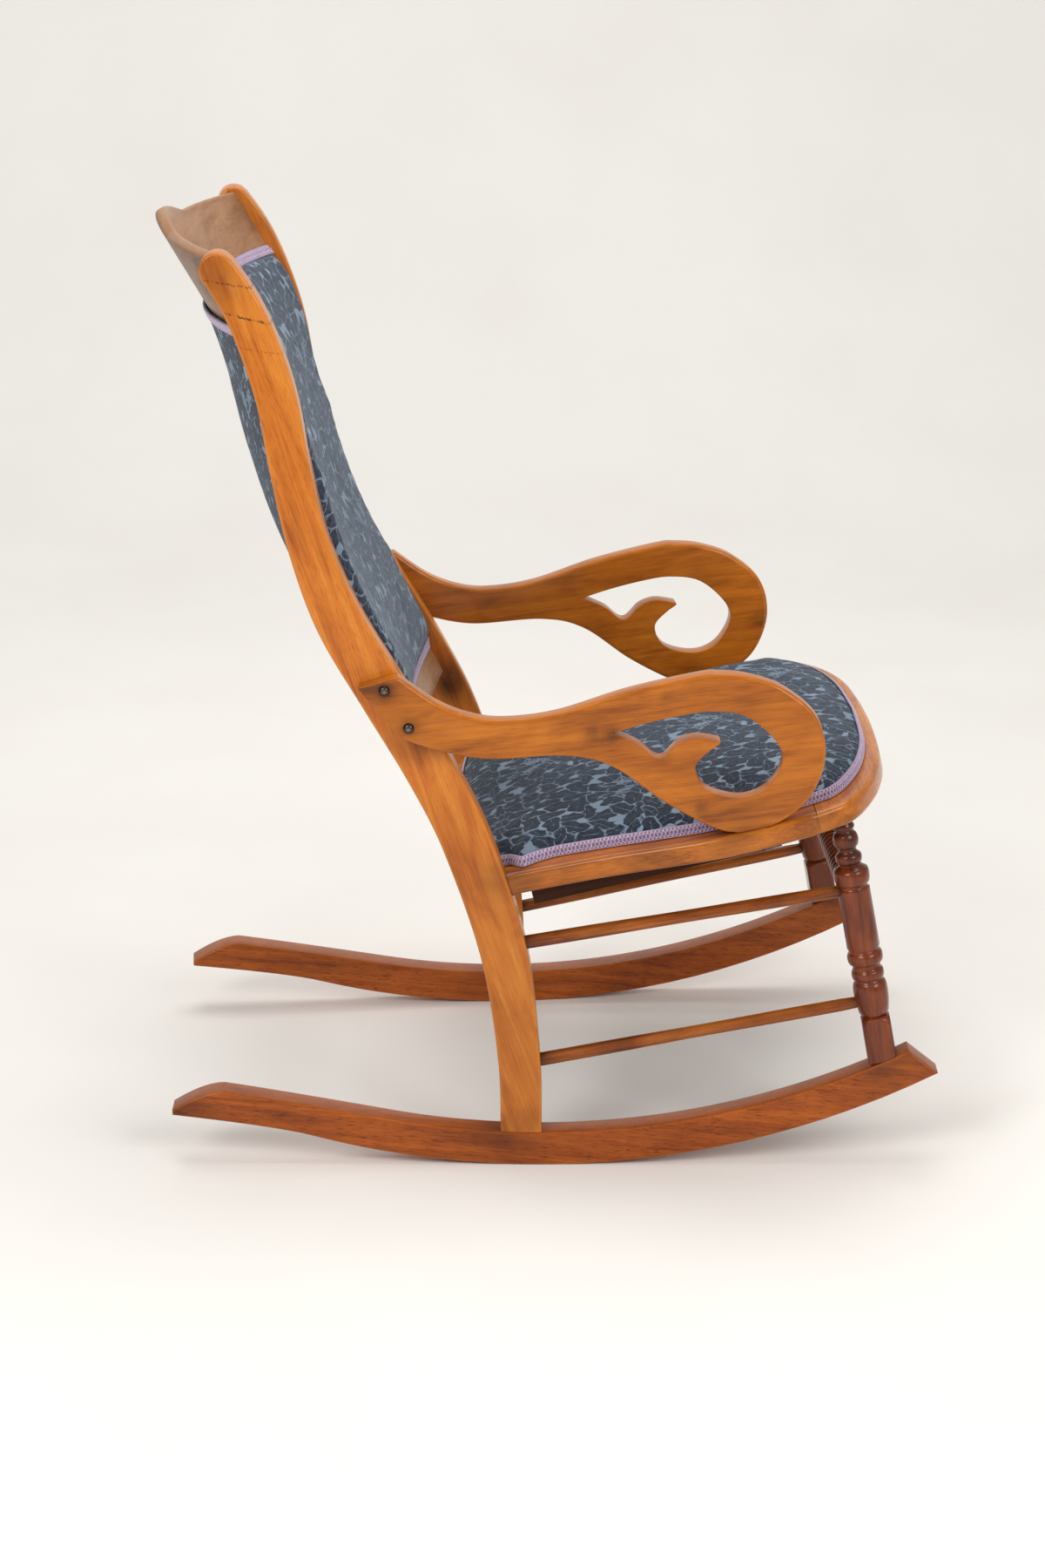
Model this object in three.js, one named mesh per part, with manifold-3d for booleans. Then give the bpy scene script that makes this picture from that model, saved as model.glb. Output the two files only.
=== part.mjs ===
// Upholstered rocking chair with open scroll arms
// Millimetres, +Z up. The chair faces -Y, and the sitter's right hand is on the -X side.
import * as THREE from 'three';
import { mergeVertices } from 'three/addons/utils/BufferGeometryUtils.js';
import Module from 'manifold-3d';

const wasm = await Module();
wasm.setup();

// Clearances
const fit = 0.3;
const overrun = 6;

// Side frames: each rocker and back post is cut from one thickness of board
const sideSplay = THREE.MathUtils.degToRad(2.4);
const sideHalfWidth = 257.5;
const boardThickness = 31;
const boardArris = 2.5;

// Seat frame: bull-nosed boards in one plane that rises to the front
const seatSlope = Math.atan(0.2343);
const seatHeight = 332;
const seatThickness = 24.5;
const seatNose = 6;
const seatRearY = 12;
const seatFrontY = -401;
const seatOverhang = 34.5;
const seatHalfWidth = sideHalfWidth + seatOverhang;
const seatRailWidth = 60;
const seatJointSetback = 93;
const seatJointY = seatFrontY + seatJointSetback;
const backJointY = 24;
const backRailRearY = 80;
const backRailSag = 29;
const seatSideShares = [[0.863, 0], [0.88, 0.108], [0.91, 0.242], [0.945, 0.35], [0.985, 0.475], [1, 0.56],
  [0.996, 0.66], [0.98, 0.757]];
const seatFrontShares = [[0.98, 0.757], [0.955, 0.82], [0.915, 0.87], [0.815, 0.915], [0.658, 0.958],
  [0.43, 0.988], [0, 1]];

// Rocker: an arc under the chair, a cut toe and a fish-tail heel
const contactY = -14;
const rockerRadius = 905;
const rockerDepth = 37.5;
const rockerToeOverhang = 38;
const rockerToeReach = contactY - seatFrontY + rockerToeOverhang;
const rockerToeBevel = 32;
const rockerCornerReach = rockerToeReach - rockerToeBevel;
const rockerToeFlatCount = 13;
const rockerTailReach = 250;
const rockerTailEase = 38;
const rockerHeelReach = 392;
const rockerHeelHeight = 57;
const rockerHeelNose = 6;
const rockerHeelRound = 33;
const rockerPeakReach = 337;
const rockerPeakHeight = 84;
const rockerTopReach = 160;
const rockerTopEase = 122;

// Back post: upright under the seat, swept back above it
const postFootY = 5;
const postSweep = 303;
const postRise = 939.5;
const postWidth = 52;
const postSweepShares = [0, 0.007, 0.061, 0.185, 0.312, 0.465, 0.615, 0.714, 0.771, 0.816, 0.904, 1];
const postRiseShares = [0, 0.089, 0.217, 0.344, 0.43, 0.515, 0.6, 0.685, 0.77, 0.855, 0.94, 1];
const postWidthShares = [0.84, 0.87, 0.95, 0.99, 0.98, 0.97, 0.94, 0.81, 0.79, 0.85, 0.88];

// Dowel between the post and the rocker
const dowelRadius = 6;
const dowelLength = 54;

// Front leg, turned, with a square block standing on the rocker
const legFootSetback = 21;
const legTopSetback = 70;
const legFootY = seatFrontY + legFootSetback;
const legTopY = seatFrontY + legTopSetback;
const legTopInset = 8;
const legHalfBlock = 15.2;
const legBlockHeight = 34;
const legBlockChamfer = 4;
const legRadius = 19;
const legTenonRadius = 8;
const legTenonDepth = 16;
const legHeightShares = [0.09, 0.125, 0.15, 0.2, 0.245, 0.288, 0.325, 0.34, 0.358, 0.376, 0.393, 0.406, 0.418,
  0.435, 0.452, 0.462, 0.472, 0.59, 0.708, 0.727, 0.745, 0.771, 0.797, 0.812, 0.824, 0.841, 0.858, 0.875,
  0.905, 0.94, 0.972, 0.984];
const legRadiusShares = [0.66, 0.66, 0.7, 0.84, 0.94, 0.97, 0.9, 0.76, 0.88, 0.91, 0.88, 0.76, 0.93,
  1, 0.93, 0.82, 0.92, 0.91, 0.9, 0.79, 0.95, 1, 0.92, 0.58, 0.66, 0.68, 0.64, 0.47,
  0.54, 0.58, 0.52, 0.42];

// Stretchers
const stretcherRearRadius = 7.3;
const stretcherFrontRadius = 6.6;
const stretcherPostDepth = 16;
const stretcherLegDepth = 11;
const upperStretcherRearDrop = 83;
const upperStretcherFrontDrop = 25;
const upperStretcherRearZ = seatHeight - upperStretcherRearDrop;
const upperStretcherFrontZ = seatHeight - upperStretcherFrontDrop;
const lowerStretcherRearZ = 116;
const lowerStretcherFrontZ = 184;
const frontStretcherDrop = 33;
const frontStretcherZ = seatHeight - frontStretcherDrop;
const frontRingPitch = 11.6;
const frontRingRadius = 14.5;
const frontGrooveRadius = 10.5;
const frontRingShares = [0.3, 0.7];
const frontTenonRadius = 6;
const rearStretcherZ = 186;
const rearStretcherRadius = 10;
const rearStretcherTenonRadius = 6.5;
const rearStretcherTaper = 60;

// Bearer screwed under each side rail
const bearerHeight = 20;
const bearerThickness = 14;
const bearerFrontInset = 40;
const bearerLength = -seatJointY - bearerFrontInset;
const bearerInset = 66;
const bearerX = seatHalfWidth - bearerInset;

// Seat webbing, hessian, stuffed pad, dust cover and gimp braid
const strapWidth = 50;
const strapThickness = 1.6;
const seatStrapEndInset = 50.5;
const seatStrapLength = backRailRearY - seatFrontY - 2 * seatStrapEndInset;
const seatStrapInset = 72;
const seatStrapSpan = 2 * (seatHalfWidth - seatStrapInset);
const seatStrapPitch = 112;
const seatPadMiddleY = (seatFrontY + backRailRearY) / 2;
const hessianThickness = 1;
const seatPadInset = 27;
const seatPadFrontInset = 13.5;
const seatPadRearY = 62;
const seatPadRearSag = 20;
const seatPadHeight = 34;
const seatPadProfileShares = [[0.975, 0], [0.985, 0.12], [0.965, 0.34], [0.92, 0.55], [0.83, 0.74],
  [0.66, 0.89], [0.4, 0.97], [0.13, 1]];
const seatHessianShare = 0.94;
const dustCoverInset = 12;
const gimpThickness = 2.4;
const gimpHeight = 12;
const gimpLean = 3;

// Arm: one board sawn to a scroll, with an open eye
const armThickness = 21;
const armArris = 4;
const armSplay = THREE.MathUtils.degToRad(0.33);
const armTailY = 173;
const armLength = armTailY - seatJointY;
const armHeight = 170.7;
const armFootShare = 0.182;
const armLowZ = seatHeight + (armLength * (1 - armFootShare) - armTailY) * Math.tan(seatSlope);
const armTopShares = [[0.914, 0.977], [0.834, 0.816], [0.76, 0.732], [0.685, 0.708], [0.574, 0.752],
  [0.425, 0.89], [0.277, 0.989], [0.229, 1], [0.166, 0.98], [0.092, 0.904], [0.021, 0.728], [0, 0.476],
  [0.033, 0.213], [0.108, 0.045], [0.182, 0], [0.238, 0.031], [0.341, 0.187], [0.454, 0.412],
  [0.557, 0.481], [0.724, 0.46], [0.836, 0.52], [0.906, 0.585]];
const armTailShare = [1, 0.904];
const eyeRimShares = [[0.457, 0.627], [0.391, 0.685], [0.316, 0.737], [0.243, 0.766], [0.168, 0.73],
  [0.106, 0.576], [0.093, 0.441], [0.127, 0.281], [0.183, 0.222], [0.254, 0.277], [0.278, 0.418],
  [0.245, 0.527]];
const eyeTongueShares = [[0.225, 0.57], [0.241, 0.588], [0.279, 0.601], [0.316, 0.564], [0.355, 0.469],
  [0.399, 0.556], [0.437, 0.608]];

// Screws
const screwHeadRadius = 5.6;
const screwHeadHeight = 4;
const screwDomeShares = [[0, 1], [0.5, 0.9], [0.88, 0.5], [1, 0]];
const screwRadius = 2.4;
const screwGrip = 19;
const armScrewPlaces = [['upper', 28, 0.892], ['lower', 52.5, 0.658]];
const footScrewShare = 0.141;
const footScrewGrip = 20;

// Crest rail: bent board with a raised lip, leaning more than the posts
const crestLean = THREE.MathUtils.degToRad(35.5);
const crestY = 307;
const crestZ = 967;
const crestThickness = 19;
const crestBow = 48;
const crestDrop = 75;
const crestRise = 31;
const crestLipRise = 26;
const crestLipBase = 79;
const crestLipTop = 60;
const crestArris = 5;
const crestArrisShare = 0.3;
const crestStationShares = [0, 0.13, 0.25, 0.28, 0.297, 0.315, 0.333, 0.35, 0.37, 0.44, 0.54, 0.66, 0.78, 0.9,
  1.04];
const crestTenonHeight = 46;
const railTenonThickness = 9;
const railTenonDepth = 15;

// Upholstered back, measured along the post line and ahead of it
const backBowLow = 27;
const backBowHigh = 48;
const backBowPower = 1.8;
const lowerRailFoot = 386;
const lowerRailTop = 456;
const lowerRailFront = 8;
const lowerRailThickness = 21;
const lowerTenonShoulder = 14;
const backPadFoot = 432;
const backPadTop = 922;
const backPadEdge = 13;
const backPadFront = 33;
const backPadCrown = 10;
const backPadSidePower = 8;
const backEndShares = [0, 0.012, 0.035, 0.075, 0.15, 0.27, 0.42, 0.58, 0.73, 0.85, 0.925, 0.965, 0.988, 1];
const backSwellShares = [0, 0.3, 0.5, 0.7, 0.88, 0.98, 1, 1, 0.96, 0.88, 0.7, 0.5, 0.3, 0];
const backStrapPitch = 120;
const outsideBackThickness = 1.6;

// Materials
const honeyWood = new THREE.Color('#a8642c');
const darkWood = new THREE.Color('#6a2f18');
const damask = new THREE.Color('#3c4a63');
const gimpYarn = new THREE.Color('#8f89ab');
const jute = new THREE.Color('#9a8355');
const hessian = new THREE.Color('#8c7448');
const lining = new THREE.Color('#26262a');

function varnished(colour, roughness) {
  return new THREE.MeshStandardMaterial({ color: colour, roughness, metalness: 0 });
}

function cloth(colour) {
  return new THREE.MeshStandardMaterial({ color: colour, roughness: 0.9, metalness: 0 });
}

function blackedSteel() {
  return new THREE.MeshStandardMaterial({ color: '#1c1a1a', roughness: 0.45, metalness: 0.8 });
}

// Frames that carry the pieces
function frame(parent, position, rotation) {
  const group = new THREE.Group();
  group.position.set(...position);
  group.rotation.set(...rotation);
  parent.add(group);
  group.updateWorldMatrix(true, false);
  return group;
}

const chair = new THREE.Group();
const rightSide = frame(chair, [-sideHalfWidth, 0, 0], [0, 0, -sideSplay]);
const leftSide = frame(chair, [sideHalfWidth, 0, 0], [0, 0, sideSplay]);
const seat = frame(chair, [0, 0, seatHeight], [-seatSlope, 0, 0]);
const back = frame(chair, [0, 0, 0], [0, 0, 0]);
const crest = frame(chair, [0, crestY, crestZ], [-crestLean, 0, 0]);
const rightArm = frame(rightSide, [-fit, armTailY, 0], [0, 0, -armSplay]);
const leftArm = frame(leftSide, [fit, armTailY, 0], [0, 0, armSplay]);

function piece(parent, name, geometry, material) {
  const mesh = new THREE.Mesh(geometry, material);
  mesh.name = name;
  parent.add(mesh);
  mesh.updateWorldMatrix(true, false);
  return mesh;
}

// A shape that is only used to cut or to join, placed in a frame
function loose(parent, geometry) {
  const mesh = new THREE.Mesh(geometry);
  mesh.matrixWorld.copy(parent.matrixWorld);
  return mesh;
}

// Solids: joining and cutting
function solidOf(geometry) {
  const bare = geometry.clone();
  bare.deleteAttribute('normal');
  bare.deleteAttribute('uv');
  const merged = mergeVertices(bare);
  return new wasm.Manifold(new wasm.Mesh({
    numProp: 3,
    vertProperties: new Float32Array(merged.attributes.position.array),
    triVerts: new Uint32Array(merged.index.array),
  }));
}

function geometryOf(solid) {
  const mesh = solid.getMesh();
  const geometry = new THREE.BufferGeometry();
  geometry.setAttribute('position', new THREE.BufferAttribute(mesh.vertProperties, mesh.numProp));
  geometry.setIndex(new THREE.BufferAttribute(mesh.triVerts, 1));
  geometry.computeVertexNormals();
  return geometry;
}

function reshape(mesh, operation, tools) {
  const home = mesh.matrixWorld.clone().invert();
  let solid = solidOf(mesh.geometry);
  for (const tool of tools) {
    const placed = tool.geometry.clone().applyMatrix4(home.clone().multiply(tool.matrixWorld));
    solid = solid[operation](solidOf(placed));
  }
  mesh.geometry = geometryOf(solid);
}

function cut(mesh, ...tools) {
  reshape(mesh, 'subtract', tools);
}

function join(mesh, ...tools) {
  reshape(mesh, 'add', tools);
}

// The same geometry seen in a mirror across X, with its faces still pointing out
function mirrored(geometry) {
  const twin = geometry.index ? geometry.toNonIndexed() : geometry.clone();
  const position = twin.attributes.position;
  for (let i = 0; i < position.count; i += 3) {
    const second = new THREE.Vector3().fromBufferAttribute(position, i + 1);
    const third = new THREE.Vector3().fromBufferAttribute(position, i + 2);
    position.setXYZ(i, -position.getX(i), position.getY(i), position.getZ(i));
    position.setXYZ(i + 1, -third.x, third.y, third.z);
    position.setXYZ(i + 2, -second.x, second.y, second.z);
  }
  twin.computeVertexNormals();
  return twin;
}

function otherSide(tool) {
  return loose(chair, mirrored(tool.geometry.clone().applyMatrix4(tool.matrixWorld)));
}

function cutBothSides(mesh, ...tools) {
  cut(mesh, ...tools, ...tools.map(otherSide));
}

// Board shapes: an outline in the side plane, its thickness inwards along X
const sideways = new THREE.Matrix4().makeBasis(
  new THREE.Vector3(0, 1, 0), new THREE.Vector3(0, 0, 1), new THREE.Vector3(1, 0, 0));

function slab(outline, thickness, arris, segments, grow = 0, rounds = 1) {
  const geometry = new THREE.ExtrudeGeometry(outline, {
    depth: thickness + 2 * grow - 2 * arris,
    bevelThickness: arris,
    bevelSize: arris,
    bevelOffset: grow - arris,
    bevelSegments: arris > 0 ? rounds : 0,
    curveSegments: segments,
  });
  geometry.translate(0, 0, arris - grow);
  return geometry;
}

function board(...sizes) {
  return slab(...sizes).applyMatrix4(sideways);
}

// A skin over a row of closed rings of points, with its two ends closed. The two halves of a ring are split
// along like diagonals, so that the front and rear of a curved sheet stay parallel.
function skin(rings) {
  const count = rings[0].length;
  const faces = [];
  for (let i = 0; i + 1 < rings.length; i++) {
    for (let j = 0; j < count; j++) {
      const a = i * count + j;
      const b = i * count + (j + 1) % count;
      const split = j < count / 2 ? [a, b + count] : [b, a + count];
      faces.push(a, b, split[1], split[0], b + count, a + count);
    }
  }
  const last = (rings.length - 1) * count;
  for (let j = 0; j + 1 < count / 2; j++) {
    const k = count - 1 - j;
    faces.push(j, k, k - 1, j, k - 1, j + 1);
    faces.push(last + j, last + j + 1, last + k - 1, last + j, last + k - 1, last + k);
  }
  const geometry = new THREE.BufferGeometry().setFromPoints(rings.flat());
  geometry.setIndex(faces);
  return facingOut(geometry);
}

// A ring of sections that closes on itself
function band(sections) {
  const count = sections[0].length;
  const faces = [];
  for (let i = 0; i < sections.length; i++) {
    const next = (i + 1) % sections.length;
    for (let j = 0; j < count; j++) {
      const k = (j + 1) % count;
      faces.push(i * count + j, i * count + k, next * count + k);
      faces.push(i * count + j, next * count + k, next * count + j);
    }
  }
  const geometry = new THREE.BufferGeometry().setFromPoints(sections.flat());
  geometry.setIndex(faces);
  return facingOut(geometry);
}

function facingOut(geometry) {
  const solid = geometry.toNonIndexed();
  const position = solid.attributes.position;
  const corner = [new THREE.Vector3(), new THREE.Vector3(), new THREE.Vector3()];
  let volume = 0;
  for (let i = 0; i < position.count; i += 3) {
    corner.forEach((point, k) => point.fromBufferAttribute(position, i + k));
    volume += corner[0].dot(corner[1].cross(corner[2]));
  }
  if (volume < 0) {
    const faces = geometry.index.array;
    for (let i = 0; i < faces.length; i += 3) {
      [faces[i + 1], faces[i + 2]] = [faces[i + 2], faces[i + 1]];
    }
  }
  geometry.computeVertexNormals();
  return geometry;
}

// A turned shape about the line from one point to another; the profile is [radius, distance] pairs
function turning(profile, start, end, facets) {
  const points = profile.map(([radius, distance]) => new THREE.Vector2(radius, distance));
  const geometry = new THREE.LatheGeometry(points, facets);
  const direction = end.clone().sub(start).normalize();
  const turn = new THREE.Quaternion().setFromUnitVectors(new THREE.Vector3(0, 1, 0), direction);
  geometry.applyQuaternion(turn);
  return geometry.translate(start.x, start.y, start.z);
}

function rod(start, end, startRadius, endRadius, facets, grow = 0) {
  const far = start.distanceTo(end) + grow;
  const profile = [[0, -grow], [startRadius + grow, -grow], [endRadius + grow, far], [0, far]];
  return turning(profile, start, end, facets);
}

// Rocker
function rockerOutline() {
  const topRadius = rockerRadius - rockerDepth;
  const angle = (reach) => -Math.acos(reach / topRadius);
  const top = angle(rockerTopReach);
  const heelY = contactY + rockerHeelReach;
  const peakY = contactY + rockerPeakReach;
  const topY = contactY + rockerTopReach;
  const topZ = rockerRadius + topRadius * Math.sin(top);
  // The underside is a run of equal flats, so that the chair stands on the middle of one
  const halfFlat = Math.asin(rockerToeReach / rockerRadius) / (2 * rockerToeFlatCount + 1);
  const tailFlats = Math.floor((Math.asin(rockerTailReach / rockerRadius) / halfFlat - 1) / 2);
  const tail = (2 * tailFlats + 1) * halfFlat;
  const outline = new THREE.Shape();
  for (let i = -rockerToeFlatCount; i <= tailFlats + 1; i++) {
    const turn = (2 * i - 1) * halfFlat;
    const point = [contactY + rockerRadius * Math.sin(turn), rockerRadius * (1 - Math.cos(turn))];
    if (i === -rockerToeFlatCount) outline.moveTo(...point);
    else outline.lineTo(...point);
  }
  outline.quadraticCurveTo(contactY + rockerRadius * Math.sin(tail) + rockerTailEase * Math.cos(tail),
    rockerRadius * (1 - Math.cos(tail)) + rockerTailEase * Math.sin(tail), heelY, rockerHeelHeight);
  outline.lineTo(heelY, rockerHeelHeight + rockerHeelNose);
  outline.quadraticCurveTo(heelY - rockerHeelRound, rockerPeakHeight, peakY, rockerPeakHeight);
  outline.quadraticCurveTo(topY - rockerTopEase * Math.sin(top), topZ + rockerTopEase * Math.cos(top),
    topY, topZ);
  outline.absarc(contactY, rockerRadius, topRadius, top, angle(-rockerCornerReach), true);
  outline.closePath();
  return outline;
}

function rockerTopZ(y) {
  const topRadius = rockerRadius - rockerDepth;
  return rockerRadius - Math.sqrt(topRadius ** 2 - (y - contactY) ** 2);
}

const rockerSegmentCount = 11;

function rockerBoard(arris = 0, grow = 0) {
  return board(rockerOutline(), boardThickness, arris, rockerSegmentCount, grow);
}

// Back post: a ribbon of changing width along a sweeping line, with a round top
const postFootZ = rockerTopZ(postFootY);
const postLine = new THREE.SplineCurve(postSweepShares.map((share, i) => new THREE.Vector2(
  postFootY + postSweep * share, postFootZ + postRise * postRiseShares[i])));
const postLength = postLine.getLength();

function alongPost(distance) {
  const share = THREE.MathUtils.clamp(distance / postLength, 0, 1);
  const point = postLine.getPointAt(share);
  const up = postLine.getTangentAt(share);
  point.addScaledVector(up, distance - share * postLength);
  return { point, up, ahead: new THREE.Vector2(-up.y, up.x) };
}

function postHalfWidth(distance) {
  const place = THREE.MathUtils.clamp(distance / postLength, 0, 1) * (postWidthShares.length - 1);
  const low = Math.min(Math.floor(place), postWidthShares.length - 2);
  return postWidth / 2 * THREE.MathUtils.lerp(postWidthShares[low], postWidthShares[low + 1], place - low);
}

function postOutline() {
  const topRadius = postHalfWidth(postLength);
  const steps = 20;
  const front = [];
  const rear = [];
  for (let i = 0; i <= steps; i++) {
    const distance = THREE.MathUtils.lerp(-overrun, postLength - topRadius, i / steps);
    const { point, ahead } = alongPost(distance);
    const half = postHalfWidth(distance);
    front.push(point.clone().addScaledVector(ahead, half));
    rear.push(point.clone().addScaledVector(ahead, -half));
  }
  const { point, up, ahead } = alongPost(postLength - topRadius);
  const round = [];
  const turns = 8;
  for (let i = 1; i < turns; i++) {
    const angle = Math.PI * i / turns;
    round.push(point.clone().addScaledVector(ahead, -topRadius * Math.cos(angle))
      .addScaledVector(up, topRadius * Math.sin(angle)));
  }
  return new THREE.Shape([...rear, ...round, ...front.reverse()]);
}

function postBoard(arris = 0, grow = 0) {
  return board(postOutline(), boardThickness, arris, 1, grow);
}

// Front leg
const boardMiddle = boardThickness / 2;
const legFoot = new THREE.Vector3(boardMiddle, legFootY, rockerTopZ(legFootY));
const legTop = new THREE.Vector3(boardMiddle + legTopInset, legTopY,
  seatHeight - (legTopY * Math.tan(seatSlope)) - seatThickness / Math.cos(seatSlope) - fit);
const legLength = legFoot.distanceTo(legTop);

function alongLeg(z) {
  return legFoot.clone().lerp(legTop, (z - legFoot.z) / (legTop.z - legFoot.z));
}

function legTurning() {
  const profile = legHeightShares.map((share, i) => [legRadius * legRadiusShares[i], legLength * share]);
  profile.unshift([0, legLength * legHeightShares[0]]);
  profile.push([legTenonRadius, legLength - fit], [0, legLength - fit]);
  return turning(profile, legFoot, legTop, 10);
}

function legBlock() {
  const square = new THREE.Shape();
  square.moveTo(-legHalfBlock, -legHalfBlock);
  square.lineTo(legHalfBlock, -legHalfBlock);
  square.lineTo(legHalfBlock, legHalfBlock);
  square.lineTo(-legHalfBlock, legHalfBlock);
  const geometry = slab(square, legBlockHeight + legHalfBlock, legBlockChamfer, 1);
  geometry.translate(0, 0, -legHalfBlock);
  const direction = legTop.clone().sub(legFoot).normalize();
  geometry.applyQuaternion(new THREE.Quaternion().setFromUnitVectors(new THREE.Vector3(0, 0, 1), direction));
  return geometry.translate(legFoot.x, legFoot.y, legFoot.z);
}

function legTenon(foot, grow = 0) {
  const base = foot ? legFoot : legTop;
  const direction = legTop.clone().sub(legFoot).normalize().multiplyScalar(foot ? -1 : 1);
  const start = base.clone().addScaledVector(direction, -overrun);
  const end = base.clone().addScaledVector(direction, legTenonDepth);
  return rod(start, end, legTenonRadius, legTenonRadius, 14, grow);
}

// Stretchers: the ends run into the post and the leg
function sideStretcher(rearZ, frontZ, grow = 0) {
  const front = alongLeg(frontZ);
  const { point, ahead } = alongPost(rearZ - postFootZ);
  const half = postHalfWidth(rearZ - postFootZ);
  const mouth = new THREE.Vector3(boardMiddle, point.x + ahead.x * half, rearZ);
  const direction = front.clone().sub(mouth).normalize();
  const rear = mouth.clone().addScaledVector(direction, -stretcherPostDepth);
  front.addScaledVector(direction, stretcherLegDepth - legRadius);
  return rod(rear, front, stretcherRearRadius, stretcherFrontRadius, 12, grow);
}

function chairPoint(sidePoint) {
  return sidePoint.clone().applyMatrix4(rightSide.matrixWorld);
}

function frontStretcher(grow = 0) {
  const start = chairPoint(alongLeg(frontStretcherZ));
  const end = start.clone().setX(-start.x);
  const direction = new THREE.Vector3(1, 0, 0);
  const inset = legRadius - stretcherLegDepth;
  const length = end.x - start.x - 2 * inset;
  start.addScaledVector(direction, inset);
  const shoulder = stretcherLegDepth + fit;
  if (grow > 0) {
    end.addScaledVector(direction, -inset);
    return rod(start, end, frontTenonRadius, frontTenonRadius, 12, grow);
  }
  const rings = Math.floor((length - 2 * shoulder) / frontRingPitch);
  const pitch = (length - 2 * shoulder) / rings;
  const profile = [[0, 0], [frontTenonRadius, 0], [frontTenonRadius, shoulder]];
  for (let i = 0; i < rings; i++) {
    const at = shoulder + pitch * i;
    profile.push([frontGrooveRadius, at]);
    frontRingShares.forEach((share) => profile.push([frontRingRadius, at + pitch * share]));
  }
  profile.push([frontGrooveRadius, length - shoulder], [frontTenonRadius, length - shoulder]);
  profile.push([frontTenonRadius, length], [0, length]);
  return turning(profile, start, end, 8);
}

function rearStretcher(grow = 0) {
  const { point } = alongPost(rearStretcherZ - postFootZ);
  const start = chairPoint(new THREE.Vector3(boardThickness, point.x, rearStretcherZ));
  const end = start.clone().setX(-start.x);
  const span = end.x - start.x;
  start.x -= stretcherPostDepth;
  end.x += stretcherPostDepth;
  const length = end.x - start.x;
  if (grow > 0) {
    return rod(start, end, rearStretcherTenonRadius, rearStretcherTenonRadius, 12, grow);
  }
  const shoulder = stretcherPostDepth + fit * 2;
  const profile = [[0, 0], [rearStretcherTenonRadius, 0], [rearStretcherTenonRadius, shoulder],
    [rearStretcherRadius, shoulder + Math.min(rearStretcherTaper, span / 2)],
    [rearStretcherRadius, length - shoulder - Math.min(rearStretcherTaper, span / 2)],
    [rearStretcherTenonRadius, length - shoulder], [rearStretcherTenonRadius, length], [0, length]];
  return turning(profile, start, end, 12);
}

// Post dowel
function postDowel(grow = 0) {
  const middle = new THREE.Vector3(boardMiddle, postFootY, postFootZ);
  const reach = new THREE.Vector3(0, 0, dowelLength / 2);
  return rod(middle.clone().sub(reach), middle.clone().add(reach), dowelRadius, dowelRadius, 12, grow);
}

// Shares from one side to the other
function acrossShares(limit, steps) {
  return Array.from({ length: steps + 1 }, (_, i) => limit * (2 * i / steps - 1));
}

// Seat frame: one bull-nosed plan, sawn into four rails
function seatPlan() {
  const depth = seatFrontY - seatRearY;
  const place = ([x, y]) => new THREE.Vector2(-seatHalfWidth * x, seatRearY + depth * y);
  const side = seatSideShares.map(place);
  const front = seatFrontShares.map(place);
  const flip = (points) => points.map((point) => new THREE.Vector2(-point.x, point.y)).reverse();
  const rearHalf = sideHalfWidth - boardThickness - fit;
  const rear = acrossShares(1, 4).map((share) => new THREE.Vector2(
    -rearHalf * share, backRailRearY - backRailSag * share ** 2));
  const plan = new THREE.Shape();
  plan.moveTo(side[0].x, backJointY + overrun);
  plan.lineTo(side[0].x, side[0].y);
  plan.splineThru(side.slice(1));
  plan.splineThru([...front.slice(1), ...flip(front).slice(1)]);
  plan.splineThru(flip(side).slice(1));
  plan.lineTo(-side[0].x, backJointY + overrun);
  plan.lineTo(rear[0].x, rear[0].y);
  plan.splineThru(rear.slice(1));
  plan.closePath();
  return plan;
}

function seatOpening() {
  const frontHalf = seatHalfWidth * seatSideShares.at(-1)[0] - seatRailWidth;
  const rearHalf = seatHalfWidth * seatSideShares[0][0] - seatRailWidth;
  const hole = new THREE.Shape();
  hole.moveTo(-frontHalf, seatJointY);
  hole.lineTo(frontHalf, seatJointY);
  hole.lineTo(rearHalf, backJointY);
  hole.lineTo(-rearHalf, backJointY);
  hole.closePath();
  return hole;
}

function prism(minX, maxX, minY, maxY, minZ, maxZ) {
  const geometry = new THREE.BoxGeometry(maxX - minX, maxY - minY, maxZ - minZ);
  return geometry.translate((minX + maxX) / 2, (minY + maxY) / 2, (minZ + maxZ) / 2);
}

function seatBoard(arris = seatNose, grow = 0) {
  const rounds = 3;
  return slab(seatPlan(), seatThickness, arris, 2, grow, rounds).translate(0, 0, -seatThickness);
}

// A rail is the stretch of the seat board between two cross cuts
function seatRail(name, minX, maxX, minY, maxY) {
  const mesh = piece(seat, name, seatBoard(), varnished(honeyWood, 0.3));
  const wide = seatHalfWidth + overrun;
  const low = -seatThickness - overrun;
  cut(mesh, loose(seat, slab(seatOpening(), seatThickness + 2 * overrun, 0, 1).translate(0, 0, low)));
  cut(mesh, loose(seat, prism(-wide, wide, seatFrontY - overrun, minY, low, overrun)));
  cut(mesh, loose(seat, prism(-wide, wide, maxY, backRailRearY + overrun, low, overrun)));
  cut(mesh, loose(seat, prism(-wide, minX, seatFrontY - overrun, backRailRearY + overrun, low, overrun)));
  cut(mesh, loose(seat, prism(maxX, wide, seatFrontY - overrun, backRailRearY + overrun, low, overrun)));
  cutBothSides(mesh, loose(rightSide, postBoard(0, fit)));
  return mesh;
}

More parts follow.
